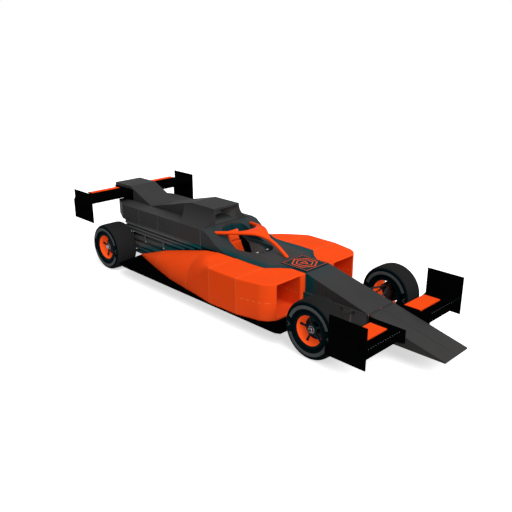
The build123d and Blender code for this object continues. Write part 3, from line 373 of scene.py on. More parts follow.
def mouldedRubber(name, axle, tyre):
    # race rubber: matt charcoal tread with a fine pimply grain; blacker walls with moulded grey arcs and bars
    material, add, shader, place = newMaterial(name, roughness=0.8, specular=0.01)
    axes, reach = aboutAxle(add, place, axle)
    tread = add("MapRange", {**smooth, 0: reach, 1: tyre["radius"] - 0.026, 2: tyre["radius"] - 0.012})
    around = add("Math", {"operation": "ARCTAN2", 0: axes["Z"], 1: axes["X"]})
    swing = add("Math", {"operation": "SINE", 0: around})
    steep = add("Math", {"operation": "ABSOLUTE", 0: swing})
    upright = add("Math", {"operation": "GREATER_THAN", 0: steep, 1: 0.33})
    band = add("Math", {"operation": "COMPARE", 0: reach, 1: 0.26, 2: 0.019})
    arc = add("Math", {"operation": "MULTIPLY", 0: upright, 1: band})
    barBand = add("Math", {"operation": "COMPARE", 0: reach, 1: 0.262, 2: 0.021})
    level = add("Math", {"operation": "ABSOLUTE", 0: axes["Z"]})
    spread = add("Math", {"operation": "MULTIPLY_ADD", 0: reach, 1: -0.8, 2: 0.2})
    apart = add("Math", {"operation": "ADD", 0: level, 1: spread})
    twoBars = add("Math", {"operation": "COMPARE", 0: apart, 1: 0.0, 2: 0.006})
    bars = add("Math", {"operation": "MULTIPLY", 0: barBand, 1: twoBars})
    marks = add("Math", {"operation": "MAXIMUM", 0: arc, 1: bars})
    wall = add("Mix", {**inColour, 0: marks, 6: "#000E12", 7: "#565858"})
    whole = add("Mix", {**inColour, 0: tread, 6: wall, 7: "#232323"})
    addWear(add, shader, place, whole, clouds=(9.0, "#0A1517", 0.12), dust=0.01, roughness=(0.72, 0.92),
            grain=(3, 0.5, 0.6))
    return material


def rimCoat(name, axle):
    # powder coated magnesium: orange with a painted glow, so it is bright even inside the barrel, with a satin
    # black flange
    material, add, shader, place = newMaterial(name, specular=0.01)
    reach = aboutAxle(add, place, axle)[1]
    flange = add("Math", {"operation": "GREATER_THAN", 0: reach, 1: 0.1675})
    coat = add("Mix", {**inColour, 0: flange, 6: "#FF5C22", 7: "#000E12"})
    # painted light: the orange glows a little, so the barrel's inside shows no shade
    feed(shader, "Emission Color", coat)
    feed(shader, "Emission Strength", 0.3)
    addWear(add, shader, place, coat, clouds=(12.0, "#E04A1C", 0.0), dust=0.05, roughness=(0.35, 0.5),
            grain=(3, 0.15, 0.4))
    return material


def blackMagnesium():
    # cast magnesium under satin black: fine cast grain and rubbed edges
    material, add, shader, place = newMaterial("blackCoatedMagnesium", specular=0.04)
    worn = rubEdges(add, "#042328", "#4A5052", 0.53, 0.66, 0.5)
    addWear(add, shader, place, worn, clouds=(14.0, "#0A1C1F", 0.4), dust=0.04, roughness=(0.28, 0.45),
            grain=(2.5, 0.2, 0.4))
    return material


def machinedSteel():
    # turned and ground steel: bright, with fine tool rings and a little haze
    material, add, shader, place = newMaterial("machinedSteel", metallic=1.0)
    haze = add("TexNoise", {"Scale": 60.0, "Detail": 5.0, "Vector": place})
    feed(shader, "Roughness", add("MapRange", {0: haze, 1: 0.3, 2: 0.7, 3: 0.18, 4: 0.36}))
    rings = add("TexNoise", {"Scale": 420.0, "Detail": 2.0, "Vector": place})
    addTone(add, shader, haze, ("#565A5C", "#8E9294"), rings, depth=0.1, strength=0.25)
    return material


def groundIron():
    # grey iron disc and hub: dark, brushed by the pads, hazy with brake dust
    material, add, shader, place = newMaterial("groundIron", metallic=0.4, specular=0.1)
    dust = add("TexNoise", {"Scale": 30.0, "Detail": 5.0, "Vector": place})
    feed(shader, "Roughness", add("MapRange", {0: dust, 1: 0.3, 2: 0.7, 3: 0.35, 4: 0.55}))
    brushed = add("TexNoise", {"Scale": 380.0, "Detail": 2.0, "Vector": place})
    addTone(add, shader, dust, ("#060E10", "#141C1E"), brushed, depth=0.2, strength=0.3)
    return material


def castAlloy():
    # sand cast aluminium: dull, pitted and oily in the hollows
    material, add, shader, place = newMaterial("sandCastAluminium", metallic=0.6, specular=0.2)
    pits = add("TexNoise", {"Scale": 240.0, "Detail": 5.0, "Roughness": 0.65, "Vector": place})
    oil = add("TexNoise", {"Scale": 7.0, "Detail": 4.0, "Vector": place})
    oily = add("MapRange", {0: oil, 1: 0.48, 2: 0.66, 3: 0.0, 4: 0.7})
    feed(shader, "Roughness", add("MapRange", {0: pits, 1: 0.3, 2: 0.7, 3: 0.42, 4: 0.62}))
    addTone(add, shader, oily, ("#2C2E2F", "#141312"), pits, depth=0.6, strength=0.6)
    return material


def radiatorCore():
    # brazed aluminium core, black dipped: upright fins crossed by flat tubes; real fins are 2 mm apart,
    # and they are drawn 8 mm apart so that they show
    material, add, shader, place = newMaterial("radiatorFins", roughness=0.5, specular=0.3)
    finPitch, tubePitch = 0.008, 0.03
    axes = add("SeparateXYZ", {0: place}).outputs
    turns = add("Math", {"operation": "MULTIPLY", 0: axes["Y"], 1: 2 * pi / finPitch})
    fin = add("Math", {"operation": "SINE", 0: turns})
    rows = add("Math", {"operation": "MULTIPLY", 0: axes["Z"], 1: 2 * pi / tubePitch})
    tube = add("Math", {"operation": "SINE", 0: rows})
    core = add("Math", {"operation": "MULTIPLY_ADD", 0: tube, 1: 0.6, 2: fin})
    amount = add("MapRange", {0: core, 1: -1.2, 2: 1.2})
    addTone(add, shader, amount, ("#08090A", "#3A3D3F"), core, depth=2, strength=0.8)
    return material


def coatedFoam():
    # slow foam under a coated skin: orange with a soft pebbled grain, duller where a helmet rubs
    material, add, shader, place = newMaterial("coatedFoam", specular=0.03)
    pebble = add("TexVoronoi", {"Scale": 190.0, "Vector": place})
    rub = add("TexNoise", {"Scale": 11.0, "Detail": 3.0, "Vector": place})
    amount = add("MapRange", {0: rub, 1: 0.45, 2: 0.7, 3: 0.0, 4: 0.4})
    feed(shader, "Roughness", add("MapRange", {0: pebble, 1: 0.0, 2: 0.6, 3: 0.55, 4: 0.72}))
    addTone(add, shader, amount, ("#FF5520", "#E04A20"), pebble, depth=0.8, strength=0.5)
    return material


def gripSuede():
    # suede covered grips: soft nap in dark grey
    material, add, shader, place = newMaterial("suedeGrip", roughness=0.9, specular=0.15)
    nap = add("TexNoise", {"Scale": 300.0, "Detail": 6.0, "Vector": place})
    addTone(add, shader, nap, ("#161718", "#34373A"), nap, depth=0.5, strength=0.5)
    feed(shader, "Sheen Weight", 0.2)
    return material


def moulding():
    # pale injection moulded ABS for knobs and thumb rests: fine spark grain
    material, add, shader, place = newMaterial("mouldedAbs", specular=0.4)
    spark = add("TexNoise", {"Scale": 350.0, "Detail": 4.0, "Vector": place})
    feed(shader, "Roughness", add("MapRange", {0: spark, 1: 0.3, 2: 0.7, 3: 0.4, 4: 0.55}))
    addTone(add, shader, spark, ("#A9ADAF", "#C9CDCF"), spark, depth=0.2, strength=0.3)
    return material


frontTyre = {"inner": 0.55, "outer": 0.822, "radius": 0.33}
rearTyre = {"inner": 0.49, "outer": 0.826, "radius": 0.324}
orange = podPaint()
orangeTrim = trimPaint()
grey = greyPaint("greyPaintedComposite")
# the slat brackets are painted paler than the body's grey: painted light where they stand in shade between the
# slats
litBracketGrey = greyPaint("greyPaintedBracket", "#626464")
armGrey = greyPaint("greyPaintedArm", "#242626")
ballGrey = greyPaint("greyPaintedBall", "#9A9C9C")
airboxCoat = airboxPaint()
frontFlapCoat = flapPaint("frontFlapPaint", 1.94, 1.96, 0.312)
rearFlapCoat = flapPaint("rearFlapPaint", -2.6, -2.645, 0.24)
coverGrey = greyPaint("greyPaintedCover", lines=coverSeams, lineColour="#606262")
noseGrey = greyPaint("greyPaintedNose", "#3A3A3A", noseSeams, "#242424")
tubCoat = tubLacquerAndPaintedShade()
frontTubCoat = frontTubPaint()
slatCoat = louvrePaint()
teal = panelPaint()
carbon = carbonTwill("carbonFibreTwill", 0.012, "#070808")
plateCarbon = carbonTwill("coarseCarbonTwill", 0.028, "#101111")
frontRubber = mouldedRubber("frontRaceRubber", frontAxle, frontTyre)
rearRubber = mouldedRubber("rearRaceRubber", rearAxle, rearTyre)
frontRimCoat = rimCoat("frontRimPowderCoat", frontAxle)
rearRimCoat = rimCoat("rearRimPowderCoat", rearAxle)
magnesium = blackMagnesium()
steel = machinedSteel()
iron = groundIron()
alloy = castAlloy()
fins = radiatorCore()
foam = coatedFoam()
suede = gripSuede()
paleAbs = moulding()
print("materials made")

# one finish for each slot of the record, and the nodes that have their own
finishes = {
    "orange_paint": orangeTrim, "orange_rim": orangeTrim, "tyre_rubber": frontRubber, "machined_steel": steel,
    "black_magnesium": magnesium, "grey_paint": grey, "carbon_fibre": carbon, "panel_paint": teal,
    "radiator_core": fins, "cast_alloy": alloy, "black_tube": carbon, "seat_shell": orangeTrim,
    "headrest_foam": foam, "steering_grip": suede,
}
ownFinishes = {
    "tub": tubCoat, "front_tub": frontTubCoat, "nose_cone": noseGrey, "engine_cover": coverGrey,
    "side_louvres": slatCoat, "airbox": airboxCoat, "front_wishbones": armGrey, "rear_wishbones": armGrey,
    "front_wing_endplates": plateCarbon, "rear_wing_endplates": plateCarbon,
    "front_wing_flaps": frontFlapCoat, "rear_wing_flaps": rearFlapCoat,
}
for side in ("_right", "_left"):
    ownFinishes.update({
        "sidepod" + side: orange, "rim_front" + side: frontRimCoat, "rim_rear" + side: rearRimCoat,
        "tyre_rear" + side: rearRubber, "hub_front" + side: iron, "hub_rear" + side: iron,
    })
for part in frame["record"]["subparts"]:
    node = nodes[part["node"]]
    node.data.materials.clear()
    node.data.materials.append(ownFinishes.get(part["node"], finishes[part["material_slot"]]))
print("finishes set on", len(nodes), "nodes")


def letGo():
    if bpy.context.object and bpy.context.object.mode != "OBJECT":
        bpy.ops.object.mode_set(mode="OBJECT")
    bpy.ops.object.select_all(action="DESELECT")


def hold(piece):
    letGo()
    piece.select_set(True)
    bpy.context.view_layer.objects.active = piece


def editAll(piece):
    # edit mode with all of the piece selected
    hold(piece)
    bpy.ops.object.mode_set(mode="EDIT")
    bpy.ops.mesh.select_all(action="SELECT")


def settle(piece):
    hold(piece)
    bpy.ops.object.transform_apply(location=True, rotation=True, scale=True)


def startBox(name, centre, size):
    letGo()
    bpy.ops.mesh.primitive_cube_add(size=1, location=centre, scale=size)
    piece = bpy.context.object
    piece.name = name
    settle(piece)
    return piece


def startDisc(name, centre, radius, depth, vertices, rotation=(0, 0, 0)):
    letGo()
    bpy.ops.mesh.primitive_cylinder_add(vertices=vertices, radius=radius, depth=depth, location=centre,
                                        rotation=rotation)
    piece = bpy.context.object
    piece.name = name
    settle(piece)
    return piece


def pick(piece, test):
    # in edit mode, selects the faces whose centre and normal pass the test
    bpy.ops.mesh.select_mode(type="FACE")
    bpy.ops.mesh.select_all(action="DESELECT")
    mesh = bmesh.from_edit_mesh(piece.data)
    for face in mesh.faces:
        if test(face.calc_center_median(), face.normal):
            face.select_set(True)
    bmesh.update_edit_mesh(piece.data)


def useModifier(piece, kind, settings):
    hold(piece)
    modifier = piece.modifiers.new(kind.title(), kind)
    for key, value in settings.items():
        setattr(modifier, key, value)
    bpy.ops.object.modifier_apply(modifier=modifier.name)


def roundEdges(piece, width, segments):
    useModifier(piece, "BEVEL", {"width": width, "segments": segments, "limit_method": "ANGLE",
                                 "angle_limit": radians(40)})


def fuse(piece, voxel, smoothing):
    # runs a faceted shell together into one smooth skin
    useModifier(piece, "REMESH", {"mode": "VOXEL", "voxel_size": voxel})
    useModifier(piece, "SMOOTH", {"factor": 0.5, "iterations": smoothing})


def finishPiece(piece, material, body, angle=35):
    settle(piece)
    bpy.ops.object.shade_smooth_by_angle(angle=radians(angle))
    piece.data.materials.clear()
    piece.data.materials.append(material)
    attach(piece, body)
    return piece


def copyPiece(piece, name, shift=(0, 0, 0), mirrored=False):
    # a copy with its own mesh, moved, or mirrored across the car's middle
    hold(piece)
    bpy.ops.object.duplicate(linked=False)
    twin = bpy.context.object
    twin.name = name
    bpy.ops.transform.translate(value=shift)
    if mirrored:
        bpy.ops.transform.resize(value=(1, -1, 1), center_override=(0, 0, 0))
    settle(twin)
    if mirrored:
        editAll(twin)
        bpy.ops.mesh.normals_make_consistent(inside=False)
        letGo()
    return twin


def copyNode(node, name):
    # a copy of a solid's mesh with its triangles joined
    hold(nodes[node])
    bpy.ops.object.duplicate(linked=False)
    piece = bpy.context.object
    piece.name = name
    piece.parent = None
    for key in list(piece.keys()):  # the solid's own marks stay with the solid
        del piece[key]
    editAll(piece)
    bpy.ops.mesh.remove_doubles(threshold=mergeDistance)
    letGo()
    return piece


def joinPieces(pieces):
    hold(pieces[0])
    for piece in pieces[1:]:
        piece.select_set(True)
    bpy.ops.object.join()
    return bpy.context.object


def spinOutline(name, axle, outline, steps):
    # turns a closed outline of (distance from the car's middle, radius) about the axle
    letGo()
    bpy.ops.mesh.primitive_circle_add(vertices=len(outline), radius=0.1, location=(axle.x, 0, axle.z))
    piece = bpy.context.object
    piece.name = name
    for vertex, (out, radius) in zip(piece.data.vertices, outline):
        vertex.co = (0, -out, radius)
    editAll(piece)
    bpy.ops.mesh.spin(steps=steps, angle=2 * pi, center=(axle.x, 0, axle.z), axis=(0, 1, 0))
    bpy.ops.mesh.select_all(action="SELECT")
    bpy.ops.mesh.remove_doubles(threshold=mergeDistance)
    bpy.ops.mesh.normals_make_consistent(inside=False)
    settle(piece)
    return piece


podShape = {"voxel": 0.009, "smoothing": 3}
for side in ("right", "left"):
    pod = copyNode("sidepod_" + side, "podShell_" + side)
    fuse(pod, podShape["voxel"], podShape["smoothing"])
    finishPiece(pod, orange, "root", 180)
    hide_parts("sidepod_" + side)
    print("pod", side, "has", len(pod.data.polygons), "faces")

haloShape = {"voxel": 0.006, "smoothing": 14}
halo = copyNode("halo", "haloTube")
fuse(halo, haloShape["voxel"], haloShape["smoothing"])
finishPiece(halo, orangeTrim, "root", 180)
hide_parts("halo")
print("halo done")

# rounded lip that runs round the cockpit mouth, as (distance along, half width)
lip = {"height": 0.66, "radius": 0.006, "front": (0.205, 0.0),
       "half": [(0.14, 0.15), (0.02, 0.21), (-0.1, 0.236), (-0.26, 0.223), (-0.4, 0.203)]}


def roundedLip():
    letGo()
    bpy.ops.curve.primitive_bezier_curve_add()
    rail = bpy.context.object
    rail.name = "cockpitLip"
    spline = rail.data.splines[0]
    points = [(x, -y) for x, y in reversed(lip["half"])] + [lip["front"]] + list(lip["half"])
    spline.bezier_points.add(len(points) - 2)
    for point, (x, y) in zip(spline.bezier_points, points):
        point.co = (x, y, lip["height"])
        point.handle_left_type = point.handle_right_type = "AUTO"
    rail.data.bevel_depth = lip["radius"]
    rail.data.bevel_resolution = 4
    rail.data.use_fill_caps = True
    rail.data.resolution_u = 14
    hold(rail)
    bpy.ops.object.convert(target="MESH")
    return bpy.context.object


finishPiece(roundedLip(), tubCoat, "root", 60)
print("cockpit lip done")

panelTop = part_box("scuttle_panel")[1].z
panelMarks = {"fromX": 0.6, "toX": 0.972, "halfWidth": 0.178, "pitch": 0.031, "dash": 0.017, "width": 0.009,
              "lift": 0.0016}
dash = startBox("panelDash", (panelMarks["fromX"], 0, panelTop),
                (panelMarks["dash"], panelMarks["width"], panelMarks["lift"]))
useModifier(dash, "BEVEL", {"width": panelMarks["lift"] / 2, "segments": 2})
dashes = [dash]
runCount = int((panelMarks["toX"] - panelMarks["fromX"]) / panelMarks["pitch"])
for number in range(runCount + 1):
    for side in (-1, 1):
        shift = (number * panelMarks["pitch"], side * panelMarks["halfWidth"], 0)
        dashes.append(copyPiece(dash, "panelDashSide", shift))
crossCount = int(panelMarks["halfWidth"] / panelMarks["pitch"])
turned = copyPiece(dash, "panelDashTurned")
hold(turned)
bpy.ops.transform.rotate(value=pi / 2, orient_axis="Z", center_override=(panelMarks["fromX"], 0, panelTop))
settle(turned)
for number in range(-crossCount, crossCount + 1):
    for end in (0, panelMarks["toX"] - panelMarks["fromX"]):
        dashes.append(copyPiece(turned, "panelDashCross", (end, number * panelMarks["pitch"], 0)))
bpy.data.objects.remove(turned)
finishPiece(joinPieces(dashes), orangeTrim, "root")


# nested outlines of tape in the frame, each as radius, corners, stretch across, width and turn
motif = {"along": 0.786, "outlines": [
    (0.166, 6, 0.98, 0.014, pi / 6), (0.112, 6, 0.98, 0.012, pi / 6), (0.06, 3, 1.0, 0.012, -pi / 2),
]}


def tapeOutline(radius, corners, stretch, width, turn):
    # a flat ring of tape: a filled outline, inset and emptied, then thickened
    centre = (motif["along"], 0, panelTop)
    letGo()
    bpy.ops.mesh.primitive_circle_add(vertices=corners, radius=radius, fill_type="NGON", location=centre,
                                      rotation=(0, 0, turn))
    ring = bpy.context.object
    ring.name = "panelMotif"
    settle(ring)
    editAll(ring)
    bpy.ops.transform.resize(value=(1, stretch, 1), center_override=centre)
    bpy.ops.mesh.inset(thickness=width, use_even_offset=True)
    bpy.ops.mesh.delete(type="FACE")
    letGo()
    useModifier(ring, "SOLIDIFY", {"thickness": panelMarks["lift"], "offset": 0.0})
    return ring


rings = [tapeOutline(*outline) for outline in motif["outlines"]]
finishPiece(joinPieces(rings), orangeTrim, "root")
print("panel marks done")


def tyreOutline(tyre):
    # half of the wall and tread from the bead up, mirrored, and closed by the lining
    middle = (tyre["inner"] + tyre["outer"]) / 2
    half = (tyre["outer"] - tyre["inner"]) / 2
    top = tyre["radius"]
    bead = half - 0.026
    wall = [
        (bead - 0.004, 0.178), (bead, 0.197), (half - 0.014, 0.206), (half - 0.009, 0.222),
        (half - 0.004, 0.226), (half - 0.004, 0.233), (half - 0.002, 0.24), (half - 0.0005, 0.262),
        (half - 0.002, 0.285), (half - 0.009, top - 0.027), (half - 0.019, top - 0.013),
        (half - 0.034, top - 0.005), (half - 0.056, top - 0.0015), (half * 0.35, top - 0.0004),
    ]
    outer = [(middle + out, radius) for out, radius in wall]
    inner = [(middle - out, radius) for out, radius in reversed(wall)]
    lining = [(middle - bead + 0.014, 0.18), (middle - half + 0.02, 0.25), (middle - half * 0.7, top - 0.016),
              (middle + half * 0.7, top - 0.016), (middle + half - 0.02, 0.25), (middle + bead - 0.014, 0.18)]
    return outer + inner + lining


spider = {"hubRadius": 0.062, "depth": 0.018, "out": 0.744, "reach": 0.1655, "waist": 0.8, "foot": 1.3,
          "count": 5, "turn": 30}


def wheelSpider(name, axle):
    # each spoke is drawn out of the hub's edge, narrowed halfway and flared at its foot
    level = Vector((axle.x, -spider["out"], axle.z))
    piece = startDisc(name, level, spider["hubRadius"], spider["depth"], 30, (pi / 2, 0, 0))
    bpy.ops.object.mode_set(mode="EDIT")
    for number in range(spider["count"]):
        angle = radians(spider["turn"] + number * 360 / spider["count"])
        outward = Vector((cos(angle), 0, sin(angle)))
        pick(piece, lambda centre, normal: abs(normal.y) < 0.3 and normal.dot(outward) > 0.955
             and (centre - level).length < spider["hubRadius"] * 1.01)
        half = (spider["reach"] - spider["hubRadius"]) / 2
        bpy.ops.mesh.extrude_region_move(TRANSFORM_OT_translate={"value": outward * half})
        bpy.ops.transform.resize(value=(spider["waist"],) * 3,
                                 center_override=level + outward * (spider["hubRadius"] + half))
        bpy.ops.mesh.extrude_region_move(TRANSFORM_OT_translate={"value": outward * half})
        bpy.ops.transform.resize(value=(spider["foot"],) * 3,
                                 center_override=level + outward * spider["reach"])
    letGo()
    roundEdges(piece, 0.002, 2)
    return piece


# centre lock nut and its dished cap, as (distance from the car's middle, radius)
nutOutline = [(0.754, 0.0), (0.754, 0.037), (0.757, 0.04), (0.763, 0.04), (0.766, 0.034), (0.784, 0.03),
              (0.789, 0.026), (0.789, 0.02), (0.785, 0.016), (0.786, 0.0)]
nutLugs = {"count": 6, "out": 0.7605, "radius": 0.036, "size": (0.012, 0.011, 0.014)}

axleSets = [("front", frontAxle, frontTyre, frontRubber), ("rear", rearAxle, rearTyre, rearRubber)]
for end, axle, tyre, rubber in axleSets:
    tyrePiece = spinOutline("tyreCase_" + end, axle, tyreOutline(tyre), 96)
    spokes = wheelSpider("wheelSpider_" + end, axle)
    nut = spinOutline("wheelNut_" + end, axle, nutOutline, 32)
    lug = startBox("nutLug", (axle.x + nutLugs["radius"], -nutLugs["out"], axle.z), nutLugs["size"])
    useModifier(lug, "BEVEL", {"width": 0.002, "segments": 2})
    lugs = [lug]
    for number in range(1, nutLugs["count"]):
        twin = copyPiece(lug, "nutLugCopy")
        editAll(twin)
        bpy.ops.transform.rotate(value=number * 2 * pi / nutLugs["count"], orient_axis="Y",
                                 center_override=(axle.x, 0, axle.z))
        letGo()
        lugs.append(twin)
    nut = joinPieces([nut] + lugs)
    for side in ("right", "left"):
        corner = end + "_" + side
        isLeft = side == "left"
        tyreCase = copyPiece(tyrePiece, "tyreCase_" + corner, mirrored=isLeft)
        finishPiece(tyreCase, rubber, "wheel_" + corner, 40)
        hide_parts("tyre_" + corner)
        wheel = copyPiece(spokes, "wheelSpider_" + corner, mirrored=isLeft)
        finishPiece(wheel, magnesium, "wheel_" + corner, 35)
        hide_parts("spokes_" + corner)
        cap = copyPiece(nut, "wheelNut_" + corner, mirrored=isLeft)
        finishPiece(cap, steel, "wheel_" + corner, 35)
    for spare in (tyrePiece, spokes, nut):
        bpy.data.objects.remove(spare)
print("wheels done")

seat = copyNode("seat", "seatShell")
useModifier(seat, "DECIMATE", {"decimate_type": "DISSOLVE", "angle_limit": radians(1)})
roundEdges(seat, 0.012, 3)
finishPiece(seat, orangeTrim, "root", 50)
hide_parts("seat")

headrestPad = {"foot": 0.66, "rise": 0.17, "lean": Vector((0.028, 0, -0.022)), "voxel": 0.005, "smoothing": 8,
               "pressure": 4.0, "cap": 0.007, "shrink": 0.004, "frames": 20}


def plumpPad():
    pad = copyNode("headrest", "headrestPad")
    hold(pad)
    bpy.ops.object.mode_set(mode="EDIT")
    mesh = bmesh.from_edit_mesh(pad.data)
    for vertex in mesh.verts:
        share = (vertex.co.z - headrestPad["foot"]) / headrestPad["rise"]
        vertex.co += share * headrestPad["lean"]
    bmesh.update_edit_mesh(pad.data)
    letGo()
    fuse(pad, headrestPad["voxel"], headrestPad["smoothing"])
    editAll(pad)
    bpy.ops.transform.shrink_fatten(value=-headrestPad["shrink"])
    letGo()
    # inner pressure puffs the skin, and no vertex ends further out than the cap
    start = [vertex.co.copy() for vertex in pad.data.vertices]
    cloth = pad.modifiers.new("Cloth", "CLOTH")
    cloth.settings.use_pressure = True
    cloth.settings.uniform_pressure_force = headrestPad["pressure"]
    cloth.settings.effector_weights.gravity = 0
    for number in range(1, headrestPad["frames"] + 1):
        bpy.context.scene.frame_set(number)
    hold(pad)
    bpy.ops.object.modifier_apply(modifier=cloth.name)
    for vertex, before in zip(pad.data.vertices, start):
        move = vertex.co - before
        if move.length > headrestPad["cap"]:
            vertex.co = before + move.normalized() * headrestPad["cap"]
    bpy.context.scene.frame_set(1)
    useModifier(pad, "SUBSURF", {"levels": 1, "render_levels": 1})
    return pad


pad = finishPiece(plumpPad(), foam, "root", 180)
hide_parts("headrest")
print("seat and headrest done")

steering = {"centre": anchors["steering_wheel_turn"], "tilt": radians(20), "width": 0.26, "height": 0.17,
            "depth": 0.02}


def tiltToColumn(piece):
    # wheel parts are modelled upright and facing the driver, then leaned to the column
    editAll(piece)
    bpy.ops.transform.rotate(value=steering["tilt"], orient_axis="Y", center_override=steering["centre"])
    letGo()


plateShape = {"sides": 0.72, "rim": 0.007, "hollow": 0.003, "round": 0.004}


def steeringPlate():
    # a plate with lower sides, and a hollow in the face towards the driver
    centre = steering["centre"]
    plate = startBox("steeringPlate", centre,
                     (steering["depth"], steering["width"] * 0.7, steering["height"] * 0.62))
    bpy.ops.object.mode_set(mode="EDIT")
    pick(plate, lambda middle, normal: abs(normal.y) > 0.9)
    bpy.ops.transform.resize(value=(1, 1, plateShape["sides"]), center_override=centre)
    pick(plate, lambda middle, normal: normal.x < -0.9)
    bpy.ops.mesh.inset(thickness=plateShape["rim"])
    bpy.ops.transform.translate(value=(plateShape["hollow"], 0, 0))
    letGo()
    roundEdges(plate, plateShape["round"], 3)
    return plate


gripShape = {"depth": 0.024, "width": 0.028, "bow": 0.016}


def steeringGrip(side):
    # a handle bowed outwards: a short post, divided, its ends drawn in, then rounded
    centre = steering["centre"]
    out = side * steering["width"] * 0.4
    grip = startBox("steeringGrip", centre + Vector((0, out, 0)),
                    (gripShape["depth"], gripShape["width"], steering["height"] * 0.68))
    editAll(grip)
    bpy.ops.mesh.subdivide(number_cuts=3)
    mesh = bmesh.from_edit_mesh(grip.data)
    for vertex in mesh.verts:
        share = (vertex.co.z - centre.z) / (steering["height"] * 0.34)
        vertex.co.y -= side * gripShape["bow"] * share * share
    bmesh.update_edit_mesh(grip.data)
    letGo()
    useModifier(grip, "SUBSURF", {"levels": 2, "render_levels": 2})
    return grip


plate = steeringPlate()
tiltToColumn(plate)
finishPiece(plate, carbon, "steering")
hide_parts("steering_wheel")
grips = joinPieces([steeringGrip(-1), steeringGrip(1)])
tiltToColumn(grips)
finishPiece(grips, suede, "steering", 60)

# the first knob from the wheel's centre, and the shifts (across, up) of the others from it
knobShape = {"from": Vector((-0.014, 0.062, 0.03)), "radius": 0.009, "height": 0.012, "step": 0.003,
             "shifts": [(-0.124, 0), (0, -0.035), (-0.124, -0.035), (-0.062, -0.058), (-0.042, 0.012),
                        (-0.082, 0.012)]}
knob = startDisc("thumbKnob", steering["centre"] + knobShape["from"], knobShape["radius"],
                 knobShape["height"], 16, (0, pi / 2, 0))
bpy.ops.object.mode_set(mode="EDIT")
pick(knob, lambda centre, normal: normal.x < -0.9)
bpy.ops.mesh.inset(thickness=knobShape["step"])
bpy.ops.transform.translate(value=(-knobShape["step"], 0, 0))
letGo()
roundEdges(knob, 0.001, 2)
knobs = joinPieces([knob] + [copyPiece(knob, "thumbKnobCopy", (0, y, z)) for y, z in knobShape["shifts"]])
tiltToColumn(knobs)
finishPiece(knobs, iron, "steering")

# a pale thumb rest on top of each grip
restShape = {"side": 0.088, "rise": 0.066, "size": (0.024, 0.03, 0.016)}
rests = []
for side in (-1, 1):
    place = steering["centre"] + Vector((0, side * restShape["side"], restShape["rise"]))
    rest = startBox("thumbRest", place, restShape["size"])
    useModifier(rest, "BEVEL", {"width": 0.007, "segments": 3})
    rests.append(rest)
rests = joinPieces(rests)
rests.name = "thumbRests"
tiltToColumn(rests)
finishPiece(rests, paleAbs, "steering")
print("steering wheel done")

# screws along the front wing's leading edge
wingScrews = {"behind": 0.025, "sunk": 0.0015, "fromY": 0.315, "pitch": 0.04, "count": 15, "radius": 0.0045,
              "height": 0.005}
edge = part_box("front_wing_main")[1]
place = (edge.x - wingScrews["behind"], wingScrews["fromY"], edge.z - wingScrews["sunk"])
screw = startDisc("wingScrews", place, wingScrews["radius"], wingScrews["height"], 12)
roundEdges(screw, 0.0012, 2)
screws = [screw]
for number in range(wingScrews["count"]):
    for side in (-1, 1):
        shift = side * (wingScrews["fromY"] + number * wingScrews["pitch"]) - wingScrews["fromY"]
        if abs(shift) > 1e-6:
            screws.append(copyPiece(screw, "wingScrewCopy", (0, shift, 0)))
finishPiece(joinPieces(screws), steel, "root")

# three painted studs hold the nose at its break
studs = {"along": 1.881, "fromY": -0.235, "pitch": 0.235, "count": 3, "level": 0.431, "radius": 0.0055,
         "height": 0.008}
stud = startDisc("noseStuds", (studs["along"], studs["fromY"], studs["level"]), studs["radius"],
                 studs["height"], 16)
roundEdges(stud, 0.002, 2)
row = [stud]
for number in range(1, studs["count"]):
    row.append(copyPiece(stud, "noseStudCopy", (0, number * studs["pitch"], 0)))
finishPiece(joinPieces(row), orangeTrim, "root")
print("screws and studs done")

bracket = {"places": [-1.797, -1.378, -2.1], "side": 0.438, "low": 0.425, "high": 0.525, "width": 0.042,
           "thickness": 0.006, "ballRadius": 0.013}


def slatBracket(name, along):
    middle = (bracket["low"] + bracket["high"]) / 2
    strap = startBox(name, (along, -bracket["side"], middle),
                     (bracket["width"], bracket["thickness"], bracket["high"] - bracket["low"]))
    bpy.ops.object.mode_set(mode="EDIT")
    pick(strap, lambda centre, normal: abs(normal.z) > 0.9)  # both ends are drawn out and narrowed
    bpy.ops.mesh.extrude_region_move(TRANSFORM_OT_translate={"value": (0, 0, 0)})
    bpy.ops.transform.resize(value=(0.7, 1, 1.12), center_override=(along, -bracket["side"], middle))
    letGo()
    useModifier(strap, "BEVEL", {"width": 0.0015, "segments": 2})
    ball = startDisc(name + "Ball", (along + 0.01, -bracket["side"], bracket["low"]), bracket["ballRadius"],
                     bracket["ballRadius"] * 1.6, 20, (pi / 2, 0, 0))
    roundEdges(ball, bracket["ballRadius"] * 0.7, 4)
    return strap, ball


for number, along in enumerate(bracket["places"]):
    strap, ball = slatBracket("slatBracket" + str(number), along)
    for piece, material in ((strap, litBracketGrey), (ball, ballGrey)):
        twin = copyPiece(piece, piece.name + "Left", mirrored=True)
        for one in (piece, twin):
            finishPiece(one, material, "root")
print("slat brackets done")

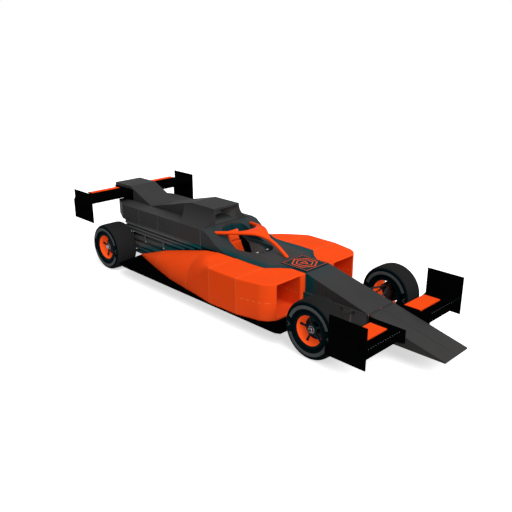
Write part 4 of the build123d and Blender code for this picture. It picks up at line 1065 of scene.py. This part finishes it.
view = {"target": (-0.0227, 0, 0.5481), "place": (5.3486, -5.3713, 3.2738), "lens": 44.75}
letGo()
bpy.ops.object.camera_add(location=view["place"])
camera = bpy.context.object
camera.data.lens = view["lens"]
aim = Vector(view["target"]) - Vector(view["place"])
camera.rotation_euler = aim.to_track_quat("-Z", "Y").to_euler()
bpy.context.scene.camera = camera

light = {"sky": 0.45, "sunStrength": 2.5, "sunSpread": 45, "sunAim": (-0.716, 0.16, -0.679),
         "floorSize": 200, "floorBounce": "#A8A8A8", "floorShown": "#F8F8F8", "floorLift": 0.6}


def shownRays(add):
    # 1 where the camera, gloss or glass looks at the backdrop, 0 where the backdrop lights the car
    rays = add("LightPath").outputs
    seen = add("Math", {"operation": "MAXIMUM", 0: rays["Is Camera Ray"], 1: rays["Is Glossy Ray"]})
    return add("Math", {"operation": "MAXIMUM", 0: seen, 1: rays["Is Transmission Ray"]})


world = bpy.data.worlds.new("paleStudio")
bpy.context.scene.world = world
world.use_nodes = True
addToWorld = partial(addNode, world.node_tree)
sky = world.node_tree.nodes["Background"]
feed(sky, "Color", "#FFFFFF")
feed(sky, "Strength", addToWorld("MapRange", {0: shownRays(addToWorld), 3: light["sky"], 4: 1.0}))

bpy.ops.object.light_add(type="SUN")
sun = bpy.context.object
sun.data.energy = light["sunStrength"]
sun.data.angle = radians(light["sunSpread"])
sun.rotation_euler = Vector(light["sunAim"]).to_track_quat("-Z", "Y").to_euler()


def floorCard():
    # matt studio card: it shows near white, and gives little light back
    material, add, shader, place = newMaterial("paperFloor", roughness=0.9, specular=0.1)
    shown = shownRays(add)
    feed(shader, "Base Color", add("Mix", {**inColour, 0: shown, 6: light["floorBounce"],
                                           7: light["floorShown"]}))
    feed(shader, "Emission Color", "#FFFFFF")
    feed(shader, "Emission Strength", add("Math", {"operation": "MULTIPLY", 0: shown, 1: light["floorLift"]}))
    return material


letGo()
bpy.ops.mesh.primitive_plane_add(size=light["floorSize"])
floor = bpy.context.object
floor.name = "studioFloor"
floor.data.materials.append(floorCard())
print("camera, light and floor done")

bpy.context.scene.view_settings.view_transform = "Standard"
